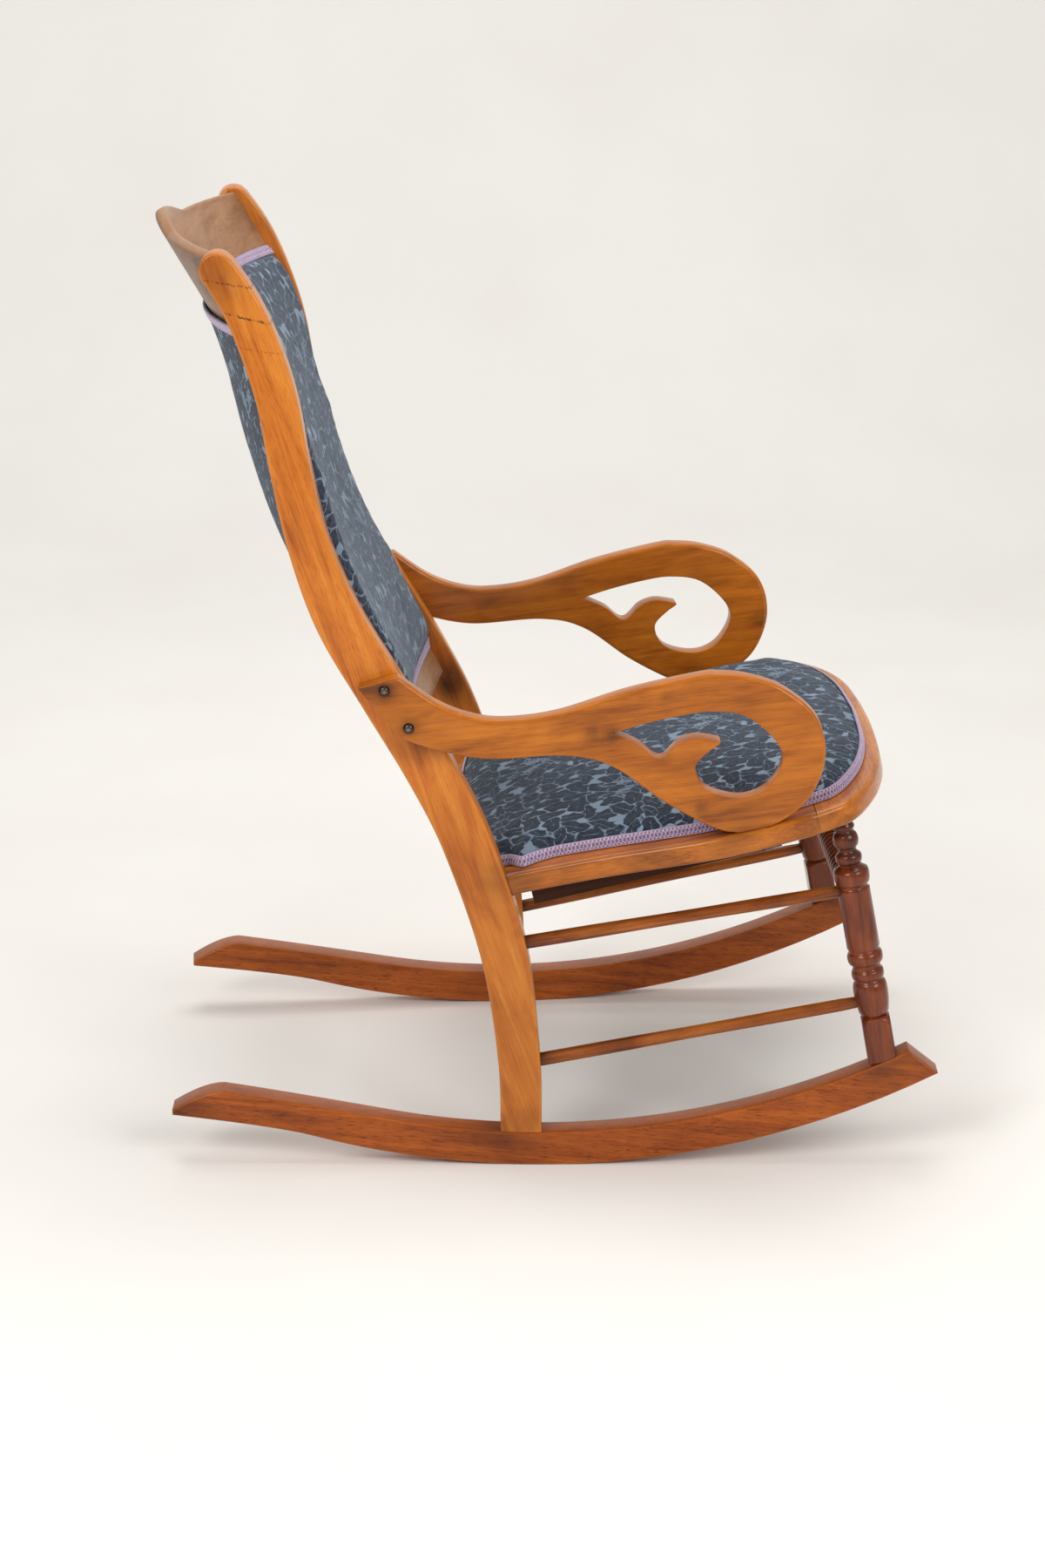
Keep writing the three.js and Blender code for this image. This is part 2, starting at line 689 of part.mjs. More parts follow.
// Arm
function armOutline(shares, shape) {
  const points = shares.map(([y, z]) => new THREE.Vector2(armLength * (y - 1), armLowZ + armHeight * z));
  if (shape.curves.length === 0) {
    shape.moveTo(points[0].x, points[0].y);
    points.shift();
  }
  shape.splineThru(points);
  return shape;
}

function armBoard(arris) {
  const outline = armOutline(armTopShares, new THREE.Shape());
  outline.lineTo(armLength * (armTailShare[0] - 1), armLowZ + armHeight * armTailShare[1]);
  outline.closePath();
  const geometry = board(outline, armThickness, arris, 2, 0, 2);
  return geometry.translate(-armThickness, 0, 0);
}

function armEye() {
  const outline = armOutline(eyeTongueShares, armOutline(eyeRimShares, new THREE.Shape()));
  outline.closePath();
  return board(outline, armThickness + 2 * overrun, 0, 2).translate(-armThickness - overrun, 0, 0);
}

// Screws: a domed head on a plain shank
function screw(head, direction, grip, grow = 0) {
  const end = head.clone().add(direction);
  const dome = screwDomeShares.map(([out, up]) => [screwHeadRadius * out, -screwHeadHeight * up]);
  const shank = [[screwRadius + grow, 0], [screwRadius + grow, grip + grow], [0, grip + grow]];
  return turning([...dome, ...shank], head, end, 12);
}

function armScrew(fromTail, heightShare, grow = 0) {
  const head = new THREE.Vector3(-armThickness - fit, -fromTail, armLowZ + armHeight * heightShare);
  return screw(head, new THREE.Vector3(1, 0, 0), armThickness + screwGrip, grow);
}

function footScrew(grow = 0) {
  const footScrewY = (armTailY - armLength * (1 - footScrewShare)) / Math.cos(seatSlope);
  const head = new THREE.Vector3(-seatHalfWidth + (armThickness + seatNose) / 2, footScrewY,
    -seatThickness - fit);
  return screw(head, new THREE.Vector3(0, 0, 1), seatThickness + footScrewGrip, grow);
}

// Crest rail
const backHalfWidth = sideHalfWidth - boardThickness - crestY * Math.tan(sideSplay);

function crestTop(x) {
  const rise = crestRise * (1 - (x / backHalfWidth) ** 2);
  const lip = THREE.MathUtils.smoothstep(-Math.abs(x), -crestLipBase, -crestLipTop);
  return rise + crestLipRise * lip;
}

function crestBoard(grow = 0) {
  const right = crestStationShares.map((share) => -backHalfWidth * share);
  const stations = [...right.reverse(), ...crestStationShares.slice(1).map((share) => backHalfWidth * share)];
  return skin(stations.map((x) => {
    const front = crestBow * (1 - (x / backHalfWidth) ** 2) - grow;
    const rear = front + crestThickness + 2 * grow;
    const top = crestTop(x) + grow;
    const round = crestArris * crestArrisShare;
    const corner = (y, z) => new THREE.Vector3(x, y, z);
    return [corner(front, top - crestArris), corner(front + round, top - round),
      corner(front + crestArris, top), corner(rear - crestArris, top),
      corner(rear - round, top - round), corner(rear, top - crestArris),
      corner(rear, -crestDrop - grow), corner(front, -crestDrop - grow)];
  }));
}

function crestTenons(grow = 0) {
  const reach = backHalfWidth + railTenonDepth + grow;
  const half = railTenonThickness / 2 + grow;
  const middle = crestThickness / 2;
  const low = -(crestDrop + crestTenonHeight) / 2 - grow;
  const high = -(crestDrop - crestTenonHeight) / 2 + grow;
  const right = prism(-reach, -backHalfWidth + railTenonDepth, middle - half, middle + half, low, high);
  return [loose(crest, right), loose(crest, mirrored(right))];
}

// Places on the upholstered back: across as a share of the width, along the post, and ahead of its line
function backPoint(across, along, ahead) {
  const climb = THREE.MathUtils.clamp((along - lowerRailFoot) / (backPadTop - lowerRailFoot), 0, 1);
  const bow = THREE.MathUtils.lerp(backBowLow, backBowHigh, climb ** backBowPower) * (1 - across ** 2);
  const place = alongPost(along);
  const spot = place.point.addScaledVector(place.ahead, ahead - bow);
  const half = sideHalfWidth - boardThickness / Math.cos(sideSplay) - fit - spot.x * Math.tan(sideSplay);
  return new THREE.Vector3(across * half, spot.x, spot.y);
}

// A strip that runs across the back from post to post
function backCrossPiece(limit, foot, top, rear, front, steps) {
  return skin(acrossShares(limit, steps).map((across) => [
    backPoint(across, foot, rear), backPoint(across, foot, front),
    backPoint(across, top, front), backPoint(across, top, rear)]));
}

// A curved panel between the posts, whose front may swell
const backColumnCount = 12;
const padStations = backEndShares.map((share) => THREE.MathUtils.lerp(backPadFoot, backPadTop, share));

function backPanel(limit, rear, front) {
  return skin(padStations.map((along, i) => {
    const rows = acrossShares(limit, backColumnCount);
    const behind = rows.map((across) => backPoint(across, along, rear));
    const before = rows.map((across) => backPoint(across, along, front(across, i)));
    return [...behind, ...before.reverse()];
  }));
}

function lowerRail(tenon, grow = 0) {
  const margin = tenon ? lowerTenonShoulder : 0;
  const skinDepth = tenon ? (lowerRailThickness - railTenonThickness) / 2 : 0;
  const limit = 1 + (tenon ? railTenonDepth + grow : overrun) / backHalfWidth;
  const rear = lowerRailFront - lowerRailThickness + skinDepth - grow;
  const front = lowerRailFront - skinDepth + grow;
  return backCrossPiece(limit, lowerRailFoot + margin - grow, lowerRailTop - margin + grow, rear, front,
    backColumnCount);
}

// A braid round the edge of the back: each corner of its section is [distance outwards, distance ahead]
function backBand(limit, corners) {
  const across = acrossShares(1, backColumnCount);
  const sides = padStations.slice(1, -1);
  const edge = [
    ...across.map((share) => [share, backPadFoot, Math.trunc(share), -1]),
    ...sides.map((along) => [1, along, 1, 0]),
    ...across.map((share) => [-share, backPadTop, -Math.trunc(share), 1]),
    ...sides.toReversed().map((along) => [-1, along, -1, 0]),
  ];
  return band(edge.map(([share, along, outX, outUp]) => corners.map(([out, ahead]) =>
    backPoint(limit * share + outX * out / backHalfWidth, along + outUp * out, ahead))));
}

// Seat pad outline: the seat plan drawn in from the edge and notched round the posts
function seatPadOutline() {
  const rearHalf = sideHalfWidth - boardThickness - backRailRearY * Math.tan(sideSplay) - gimpThickness - fit;
  const frontY = seatFrontY + seatPadFrontInset;
  const side = ([x, y]) => new THREE.Vector2(
    -(seatHalfWidth * x - seatPadInset), seatRearY + (frontY - seatRearY) * y);
  const halfPlan = [...seatSideShares.slice(1, -1), ...seatFrontShares.slice(1, -1)].map(side);
  const flipped = halfPlan.map((point) => new THREE.Vector2(-point.x, point.y)).reverse();
  const outline = new THREE.Shape();
  const shoulderX = seatPadFrontInset - seatHalfWidth * seatSideShares[0][0];
  const shoulder = new THREE.Vector2(shoulderX, seatRearY - fit);
  const cornerY = seatPadRearY - seatPadRearSag;
  outline.moveTo(shoulder.x, shoulder.y);
  outline.splineThru([...halfPlan, new THREE.Vector2(0, frontY), ...flipped,
    new THREE.Vector2(-shoulder.x, shoulder.y)]);
  outline.lineTo(rearHalf, shoulder.y);
  outline.lineTo(rearHalf, cornerY);
  outline.quadraticCurveTo(0, seatPadRearY + seatPadRearSag, -rearHalf, cornerY);
  outline.lineTo(-rearHalf, shoulder.y);
  outline.closePath();
  return outline.getSpacedPoints(64).slice(0, -1);
}

function padRing(points, share, z) {
  return points.map((point) => new THREE.Vector3(
    point.x * share, seatPadMiddleY + (point.y - seatPadMiddleY) * share, z));
}

// Rear half of the side frames and the rockers
const rocker = piece(rightSide, 'rocker_right', rockerBoard(boardArris), varnished(honeyWood, 0.3));
cut(rocker, loose(rightSide, legTenon(true, fit)), loose(rightSide, postDowel(fit)));

const post = piece(rightSide, 'back_post_right', postBoard(boardArris), varnished(honeyWood, 0.3));
cut(post, loose(rightSide, rockerBoard(0, fit)), loose(rightSide, postDowel(fit)));
cut(post, loose(rightSide, sideStretcher(upperStretcherRearZ, upperStretcherFrontZ, fit)));
cut(post, loose(rightSide, sideStretcher(lowerStretcherRearZ, lowerStretcherFrontZ, fit)));
cut(post, loose(chair, rearStretcher(fit)), ...crestTenons(fit), loose(back, lowerRail(true, fit)));
armScrewPlaces.forEach(([, ...place]) => cut(post, loose(rightArm, armScrew(...place, fit))));

piece(rightSide, 'post_dowel_right', postDowel(), varnished(honeyWood, 0.6));

const leg = piece(rightSide, 'front_leg_right', legTurning(), varnished(darkWood, 0.25));
join(leg, loose(rightSide, legBlock()));
cut(leg, loose(rightSide, rockerBoard(0, fit)));
join(leg, loose(rightSide, legTenon(true)), loose(rightSide, legTenon(false)));
cut(leg, loose(rightSide, sideStretcher(upperStretcherRearZ, upperStretcherFrontZ, fit)));
cut(leg, loose(rightSide, sideStretcher(lowerStretcherRearZ, lowerStretcherFrontZ, fit)));
cut(leg, loose(chair, frontStretcher(fit)));

piece(rightSide, 'upper_side_stretcher_right',
  sideStretcher(upperStretcherRearZ, upperStretcherFrontZ), varnished(darkWood, 0.25));
piece(rightSide, 'lower_side_stretcher_right',
  sideStretcher(lowerStretcherRearZ, lowerStretcherFrontZ), varnished(darkWood, 0.25));
piece(chair, 'front_stretcher', frontStretcher(), varnished(darkWood, 0.25));
piece(chair, 'rear_stretcher', rearStretcher(), varnished(darkWood, 0.25));

// Seat rails
const wholeWidth = seatHalfWidth + overrun;
const wholeFrontY = seatFrontY - overrun;
const frontRail = seatRail('seat_front_rail', -wholeWidth, wholeWidth, wholeFrontY, seatJointY - fit);
cutBothSides(frontRail, loose(rightSide, legTenon(false, fit)));
seatRail('seat_back_rail', -wholeWidth, wholeWidth, backJointY + fit, backRailRearY + overrun);
const sideRail = seatRail('seat_side_rail_right', -wholeWidth, 0, seatJointY, backJointY);
cut(sideRail, loose(seat, footScrew(fit)));
const leftRail = seatRail('seat_side_rail_left', 0, wholeWidth, seatJointY, backJointY);
cut(leftRail, otherSide(loose(seat, footScrew(fit))));

for (const [side, sign] of [['right', -1], ['left', 1]]) {
  const bearer = prism(-bearerThickness / 2, bearerThickness / 2, -bearerLength, 0,
    -seatThickness - fit - bearerHeight, -seatThickness - fit);
  piece(seat, `seat_side_bearer_${side}`, bearer, varnished(darkWood, 0.5)).position.x = sign * bearerX;
}

// Arms
const arm = piece(rightArm, 'arm_right', armBoard(armArris), varnished(honeyWood, 0.3));
cut(arm, loose(rightArm, armEye()), loose(seat, seatBoard(0, fit)), loose(seat, footScrew(fit)));
armScrewPlaces.forEach(([level, ...place]) => {
  cut(arm, loose(rightArm, armScrew(...place, fit)));
  piece(rightArm, `arm_screw_${level}_right`, armScrew(...place), blackedSteel());
});
const foot = loose(seat, footScrew());
piece(seat, 'arm_foot_screw_right', foot.geometry, blackedSteel());
piece(seat, 'arm_foot_screw_left', mirrored(foot.geometry), blackedSteel());

// Crest and lower back rail
const crestRail = piece(crest, 'crest_rail', crestBoard(), varnished(honeyWood, 0.3));
cutBothSides(crestRail, loose(rightSide, postBoard(0, fit)));
join(crestRail, ...crestTenons());
const lowRail = piece(back, 'lower_back_rail', lowerRail(false), varnished(honeyWood, 0.4));
cutBothSides(lowRail, loose(rightSide, postBoard(0, fit)));
join(lowRail, loose(back, lowerRail(true)));

// Seat upholstery, from the rails up
const hessianZ = strapThickness + 2 * fit;
const padZ = hessianZ + hessianThickness + fit;
const padOutline = seatPadOutline();
function seatStrap(x, y, length, width) {
  return prism(x - width / 2, x + width / 2, y - length / 2, y + length / 2, fit, fit + strapThickness);
}

const middleStrap = seatStrap(0, seatPadMiddleY, seatStrapLength, strapWidth);
const webbing = piece(seat, 'seat_webbing', middleStrap, cloth(jute));
for (const step of [-1, 0, 1]) {
  const offset = step * seatStrapPitch;
  join(webbing, loose(seat, seatStrap(0, seatPadMiddleY + offset, strapWidth, seatStrapSpan)));
  if (step !== 0) join(webbing, loose(seat, seatStrap(offset, seatPadMiddleY, seatStrapLength, strapWidth)));
}
piece(seat, 'seat_hessian', skin([padRing(padOutline, seatHessianShare, hessianZ),
  padRing(padOutline, seatHessianShare, hessianZ + hessianThickness)]), cloth(hessian));
piece(seat, 'seat_pad', skin(seatPadProfileShares.map(([share, z]) =>
  padRing(padOutline, share, padZ + seatPadHeight * z))), cloth(damask));

// The gimp leaves the pad's foot and lies on its rising side
function seatGimp(outline) {
  return band(outline.map((point, i) => {
    const before = outline.at(i - 1);
    const after = outline[(i + 1) % outline.length];
    const out = new THREE.Vector2(before.y - after.y, after.x - before.x).normalize();
    const place = (offset, z) => new THREE.Vector3(point.x + out.x * offset, point.y + out.y * offset, z);
    return [place(0, fit), place(gimpThickness, fit), place(gimpThickness - gimpLean, gimpHeight),
      place(-gimpLean, gimpHeight)];
  }));
}

piece(seat, 'seat_gimp', seatGimp(padOutline), cloth(gimpYarn));

// Cloth under the seat, between the bearers
function dustCover() {
  const half = bearerX - bearerThickness / 2 - fit;
  const cover = new THREE.Shape();
  cover.moveTo(-half, seatJointY - dustCoverInset);
  cover.lineTo(half, seatJointY - dustCoverInset);
  cover.lineTo(half - dustCoverInset, backJointY + dustCoverInset);
  cover.lineTo(-half + dustCoverInset, backJointY + dustCoverInset);
  cover.closePath();
  return slab(cover, hessianThickness, 0, 1).translate(0, 0, -seatThickness - fit - hessianThickness);
}

piece(seat, 'seat_dust_cover', dustCover(), cloth(lining));

// Back upholstery: webbing and hessian on the front of the two rails, then the stuffed pad
// The spaces between three straps, the outer two open at the edge
function strapSpaces(middle) {
  const half = (backStrapPitch - strapWidth) / 2;
  return [-1.5, -0.5, 0.5, 1.5].map((step) => {
    const centre = middle + step * backStrapPitch;
    return [centre - half - (step < -1 ? strapWidth : 0), centre + half + (step > 1 ? strapWidth : 0)];
  });
}

function backWebbing() {
  const rear = lowerRailFront + fit;
  const sheet = backPanel(1, rear, () => rear + strapThickness);
  const straps = piece(back, 'back_webbing', sheet, cloth(jute));
  const low = backPoint(0, backPadFoot, 0);
  const high = backPoint(0, backPadTop, 0);
  for (const [left, right] of strapSpaces(0)) {
    for (const [bottom, top] of strapSpaces((low.z + high.z) / 2)) {
      cut(straps, loose(back, prism(left, right, low.y - postWidth, high.y + postWidth, bottom, top)));
    }
  }
  return straps;
}

// A braid's section: it starts one distance outwards, and runs from one distance ahead to another
function braidSection(start, rear, front) {
  return [[start, rear], [start + gimpThickness, rear], [start + gimpThickness, front], [start, front]];
}

const hessianRear = lowerRailFront + strapThickness + 2 * fit;
const backHessian = piece(back, 'back_hessian',
  backPanel(1, hessianRear, () => hessianRear + hessianThickness), cloth(hessian));
const padRear = hessianRear + hessianThickness + fit;
const padReach = 1 - (gimpThickness + 2 * fit) / backHalfWidth;
const padRise = backPadFront - padRear - backPadEdge;
const padShape = (across, i) => padRear + backPadEdge
  + padRise * backSwellShares[i] * (1 - Math.abs(across / padReach) ** backPadSidePower)
  + backPadCrown * backSwellShares[i] * (1 - across ** 2);
const backPad = piece(back, 'back_pad', backPanel(padReach, padRear, padShape), cloth(damask));
const outsideFront = lowerRailFront - lowerRailThickness - fit;
const outsideRear = outsideFront - outsideBackThickness;
const outsideBack = piece(back, 'outside_back', backPanel(1, outsideRear, () => outsideFront), cloth(damask));
const frontBraid = piece(back, 'back_gimp_front',
  backBand(padReach, braidSection(fit, padRear, padRear + gimpHeight)), cloth(gimpYarn));
const rearBraidFront = outsideRear - 2 * fit;
piece(back, 'back_gimp_rear', backBand(1, [[0, rearBraidFront], [-gimpHeight, rearBraidFront],
  [-gimpHeight, rearBraidFront - gimpThickness], [0, rearBraidFront - gimpThickness]]), cloth(gimpYarn));
for (const layer of [backWebbing(), backHessian, backPad, outsideBack, frontBraid]) {
  cut(layer, loose(crest, crestBoard(fit)), loose(back, lowerRail(false, fit)));
}

// The left side is the right side seen in a mirror
function mirrorSide(from, to) {
  for (const child of from.children.filter((item) => item.isMesh)) {
    piece(to, child.name.replace('right', 'left'), mirrored(child.geometry), child.material.clone());
  }
}

mirrorSide(rightSide, leftSide);
mirrorSide(rightArm, leftArm);

// Stand the chair on the ground with its middle over the origin
const box = new THREE.Box3().setFromObject(chair);
chair.position.set(0, -(box.min.y + box.max.y) / 2, -box.min.z);

export default chair;
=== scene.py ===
import math
from functools import partial

import bmesh
import bpy
import numpy as np
from mathutils import Matrix, Vector, geometry


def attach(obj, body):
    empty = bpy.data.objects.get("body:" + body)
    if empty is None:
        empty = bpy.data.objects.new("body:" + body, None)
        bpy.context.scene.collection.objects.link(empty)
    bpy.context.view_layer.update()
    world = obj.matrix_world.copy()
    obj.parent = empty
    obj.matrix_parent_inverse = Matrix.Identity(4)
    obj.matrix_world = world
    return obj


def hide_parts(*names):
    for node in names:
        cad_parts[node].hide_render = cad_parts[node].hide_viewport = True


# An open-arm rocking chair with a stuffed seat and back. Shapes are worked out in millimetres, in the
# frame in which the chair is drawn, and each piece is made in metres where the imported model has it.
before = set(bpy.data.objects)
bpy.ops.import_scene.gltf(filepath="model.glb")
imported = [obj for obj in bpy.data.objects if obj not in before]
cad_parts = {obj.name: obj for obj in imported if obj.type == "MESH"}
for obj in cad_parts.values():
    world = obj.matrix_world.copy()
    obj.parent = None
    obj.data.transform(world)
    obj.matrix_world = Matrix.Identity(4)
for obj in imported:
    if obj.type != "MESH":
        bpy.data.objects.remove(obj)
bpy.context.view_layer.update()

# Camera: a long lens at the sitter's right side, above the chair's height, with the chair's rear to the left.
camera_pitch = math.radians(17.706)
camera_turn = math.radians(2.26)
camera_place = (-3.7378, 0.1697, 1.5413)
view_right = Vector((-math.sin(camera_turn), -math.cos(camera_turn), 0))
view_ahead = Vector((math.cos(camera_pitch) * math.cos(camera_turn),
                     -math.cos(camera_pitch) * math.sin(camera_turn), -math.sin(camera_pitch)))
view_up = view_right.cross(view_ahead)
camera = bpy.data.objects.new("camera", bpy.data.cameras.new("camera"))
camera.data.sensor_fit = "VERTICAL"
camera.data.sensor_height = 36
camera.data.lens = 81
camera.data.shift_x = 0.0036
camera.data.clip_end = 60
camera.matrix_world = Matrix.Translation(camera_place) @ Matrix(
    (view_right, view_up, -view_ahead)).transposed().to_4x4()
bpy.context.scene.collection.objects.link(camera)
bpy.context.scene.camera = camera

# Rockers: two boards of coarse-grained wood, sawn to an arc with a cut toe and a fish-tail heel. Their
# arrises are rubbed round and painted paler, as wear and a painted highlight, and the amber varnish is
# painted darker than the posts' all over: painted shade, low down under the seat.
side_half_width = 257.5
side_splay = math.radians(2.4)
board_thickness = 31
fit = 0.3
depth_shift = 22.8
ground_drop = 0.14
contact_y = -14
rocker_radius = 905
rocker_top_radius = 867.5
both_sides = (("right", 1), ("left", -1))


def spline(points, per_span):
    """A curve through every point. Between two points it is the cubic whose end slopes are half the step
    from the point before to the point after."""
    p = np.asarray(points, float)
    p = np.vstack([p[:1], p, p[-1:]])
    t = np.linspace(0, 1, per_span, endpoint=False)[None, :, None]
    before, start, end, after = (p[k:len(p) - 3 + k, None] for k in range(4))
    v0, v1 = (end - before) / 2, (after - start) / 2
    curve = ((2 * start - 2 * end + v0 + v1) * t ** 3 + (3 * end - 3 * start - 2 * v0 - v1) * t ** 2
             + v0 * t + start)
    return np.vstack([curve.reshape(-1, p.shape[1]), p[-1:]])


def bezier(start, control, end, steps=24):
    """Start, control and end weighted by (1-t)(1-t), 2t(1-t) and t squared."""
    t = np.linspace(0, 1, steps)[:, None]
    return (1 - t) ** 2 * np.array(start) + 2 * t * (1 - t) * np.array(control) + t ** 2 * np.array(end)


def even(points, step):
    """The same line with its points spaced evenly, about one step apart."""
    p = np.asarray(points, float)
    run = np.r_[0, np.cumsum(np.linalg.norm(np.diff(p, axis=0), axis=1))]
    at = np.linspace(0, run[-1], max(2, int(round(run[-1] / step)) + 1))
    return np.stack([np.interp(at, run, p[:, k]) for k in range(p.shape[1])], 1)


def inset(loop, amounts):
    """A closed line drawn in from its edges, each edge by its own amount. A corner moves to where its two
    edges meet again; on a smooth run a point moves straight in."""
    ahead = np.roll(loop, -1, 0) - loop
    normal = np.stack([ahead[:, 1], -ahead[:, 0]], 1) / np.linalg.norm(ahead, axis=1)[:, None]
    before, d0, d1 = np.roll(normal, 1, 0), np.roll(amounts, 1), amounts
    cross = before[:, 0] * normal[:, 1] - before[:, 1] * normal[:, 0]
    gentle = np.abs(cross) < 0.3
    smooth = (before + normal) / np.linalg.norm(before + normal, axis=1)[:, None] * ((d0 + d1) / 2)[:, None]
    corner = np.stack([d0 * normal[:, 1] - d1 * before[:, 1], d1 * before[:, 0] - d0 * normal[:, 0]], 1)
    corner = corner / np.where(gentle, 1, cross)[:, None]
    return loop - np.where(gentle[:, None], smooth, corner)


def wound(loop, arris, hole):
    """The line with the wood on its left, anticlockwise outside and clockwise round a hole, and with it the
    arris of each of its edges."""
    x, y = loop[:, 0], loop[:, 1]
    clockwise = (x * np.roll(y, -1) - y * np.roll(x, -1)).sum() < 0
    return (loop[::-1], np.roll(arris[::-1], -1)) if clockwise != hole else (loop, arris)


def enclosed(points, loops):
    """Whether each point lies in the wood: a ray from it crosses the closed lines an odd number of times."""
    odd = np.zeros(len(points), bool)
    for a in loops:
        b = np.roll(a, -1, 0)
        spans = (a[:, 1] > points[:, 1:]) != (b[:, 1] > points[:, 1:])
        slope = (b[:, 0] - a[:, 0]) / np.where(b[:, 1] == a[:, 1], 1, b[:, 1] - a[:, 1])
        odd ^= (spans & (points[:, :1] < a[:, 0] + (points[:, 1:] - a[:, 1]) * slope)).sum(1) % 2 == 1
    return odd


def filled(loops, spacing):
    """Triangles between closed lines, over a grid of added points, so that stains can vary over the face."""
    rim = np.vstack(loops)
    low, high = rim.min(0), rim.max(0)
    grid = np.stack(np.meshgrid(*(np.arange(low[k], high[k], spacing) for k in (0, 1))), -1).reshape(-1, 2)
    grid = grid[enclosed(grid, loops)]
    grid = grid[((grid[:, None] - rim[None]) ** 2).sum(2).min(1) > (spacing * 0.5) ** 2]
    starts = np.cumsum([0] + [len(loop) for loop in loops])
    edges = [(start + k, start + (k + 1) % len(loop)) for start, loop in zip(starts, loops)
             for k in range(len(loop))]
    spots = np.vstack([rim, grid])
    found = geometry.delaunay_2d_cdt([Vector(p) for p in spots.tolist()], edges, [], 1, 1e-5)
    triangles = np.array([[found[3][k][0] for k in face] for face in found[2]])
    return grid, triangles[enclosed(spots[triangles].mean(1), loops)]


def sawn_board(loops, thickness, arrises, quirk=0, spacing=8, steps=5):
    """A flat board inside the first line and outside the others, with rounded arrises. Each line goes from
    one face round the arris: at angle a it is drawn in by arris (1 - sin a) and lies arris (1 - cos a) below
    the face, after a step of the quirk. Then it crosses the edge and comes back on the other face. Returns
    points (two in the plane, then depth), the faces of the edge, the flat faces, and 1 on the arrises."""
    angles = np.linspace(0, math.pi / 2, steps + 1)
    shares = ([(1, 0, 0)] if quirk else []) + [(1 - math.sin(a), quirk, 1 - math.cos(a)) for a in angles]
    points, wear, faces, rims, count = [], [], [], [[], []], 0
    for number, (loop, arris) in enumerate(zip(loops, arrises)):
        loop, arris = wound(loop, np.broadcast_to(np.asarray(arris, float), len(loop)), hole=number > 0)
        deep = np.maximum(np.maximum(arris, np.roll(arris, 1)) - quirk, 0.1)
        rings = [np.column_stack([inset(loop, arris * near), step + deep * down]) for near, step, down in shares]
        n, rows = len(loop), 2 * len(rings)
        points += rings + [ring * (1, 1, -1) + (0, 0, thickness) for ring in rings[::-1]]
        on_arris = [0] + [1] * (len(rings) - 1)
        wear += [np.full(n, amount) for amount in on_arris + on_arris[::-1]]
        k = np.arange(n)
        here = count + np.arange(rows - 1)[:, None] * n
        beyond = here + (k + 1) % n
        faces.append(np.stack([here + k, here + k + n, beyond + n, beyond], -1).reshape(-1, 4))
        rims[0].append((rings[0][:, :2], count + k))
        rims[1].append((rings[0][:, :2], count + (rows - 1) * n + k))
        count += rows * n
    flat = []
    for rim, depth in zip(rims, (0, thickness)):
        grid, triangles = filled([loop for loop, _ in rim], spacing)
        index = np.concatenate([place for _, place in rim] + [count + np.arange(len(grid))])
        points.append(np.column_stack([grid, np.full(len(grid), depth)]))
        wear.append(np.zeros(len(grid)))
        flat.append(index[triangles])
        count += len(grid)
    return np.vstack(points), faces, flat, np.concatenate(wear)


def on_side(points):
    """Board points (y, z, depth inwards) placed in the chair: the right side frame turned by its splay."""
    y, z, inward = points.T
    return np.stack([-side_half_width + inward * math.cos(side_splay) + y * math.sin(side_splay),
                     y * math.cos(side_splay) - inward * math.sin(side_splay), z], 1)


def add_piece(name, points, faces, flat=(), material=None, smooth_angle=40, **amounts):
    """A closed mesh from points in millimetres of the drawing. Flat faces are shaded flat, the others smooth
    up to the angle. Each amount is a number or a vector for each point, which the material reads by name."""
    mesh = bpy.data.meshes.new(name)
    blocks = [np.asarray(block) for block in list(faces) + list(flat)]
    mesh.from_pydata(((points + (0, depth_shift, -ground_drop)) / 1000).tolist(), [],
                     [face for block in blocks for face in block.tolist()])
    shell = bmesh.new()
    shell.from_mesh(mesh)
    bmesh.ops.recalc_face_normals(shell, faces=shell.faces)
    shell.to_mesh(mesh)
    shell.free()
    smooth = np.ones(len(mesh.polygons), bool)
    smooth[len(smooth) - sum(len(block) for block in flat):] = False
    mesh.polygons.foreach_set("use_smooth", smooth)
    mesh.set_sharp_from_angle(angle=math.radians(smooth_angle))
    for key, values in amounts.items():
        values = np.asarray(values, np.float32)
        kind, field = ("FLOAT", "value") if values.ndim == 1 else ("FLOAT_VECTOR", "vector")
        mesh.attributes.new(key, kind, "POINT").data.foreach_set(field, values.ravel())
    piece = bpy.data.objects.new(name, mesh)
    bpy.context.scene.collection.objects.link(piece)
    mesh.materials.append(material)
    return piece


def linear(colour):
    """A written colour turned to the linear values that the shader works in."""
    parts = np.array([int(colour[k:k + 2], 16) for k in (1, 3, 5)]) / 255
    return (*np.where(parts <= 0.04045, parts / 12.92, ((parts + 0.055) / 1.055) ** 2.4).tolist(), 1)


def add_node(material, kind, settings=(), **inputs):
    """A shader node with its settings, and its inputs given as values or as outputs to link from. An input
    is named, with _ for a space, or numbered, as in i0."""
    tree = material.node_tree
    node = tree.nodes.new("ShaderNode" + kind)
    for key, value in dict(settings).items():
        if key == "stops":
            while len(node.color_ramp.elements) < len(value):
                node.color_ramp.elements.new(0.5)
            for stop, (place, colour) in zip(node.color_ramp.elements, value):
                stop.position, stop.color = place, linear(colour)
        else:
            setattr(node, key, value)
    for key, value in inputs.items():
        socket = node.inputs[int(key[1:])] if key[1:].isdigit() else node.inputs[key.replace("_", " ")]
        if isinstance(value, bpy.types.NodeSocket):
            tree.links.new(value, socket)
        else:
            socket.default_value = value
    return node


def new_material(name):
    """An empty shader tree under the name of what it stands for."""
    material = bpy.data.materials.new(name)
    material.use_nodes = True
    material.node_tree.nodes.clear()
    return material


def given(material, name, output="Fac"):
    """What the piece gives its points under this name."""
    return add_node(material, "Attribute", {"attribute_name": name}).outputs[output]


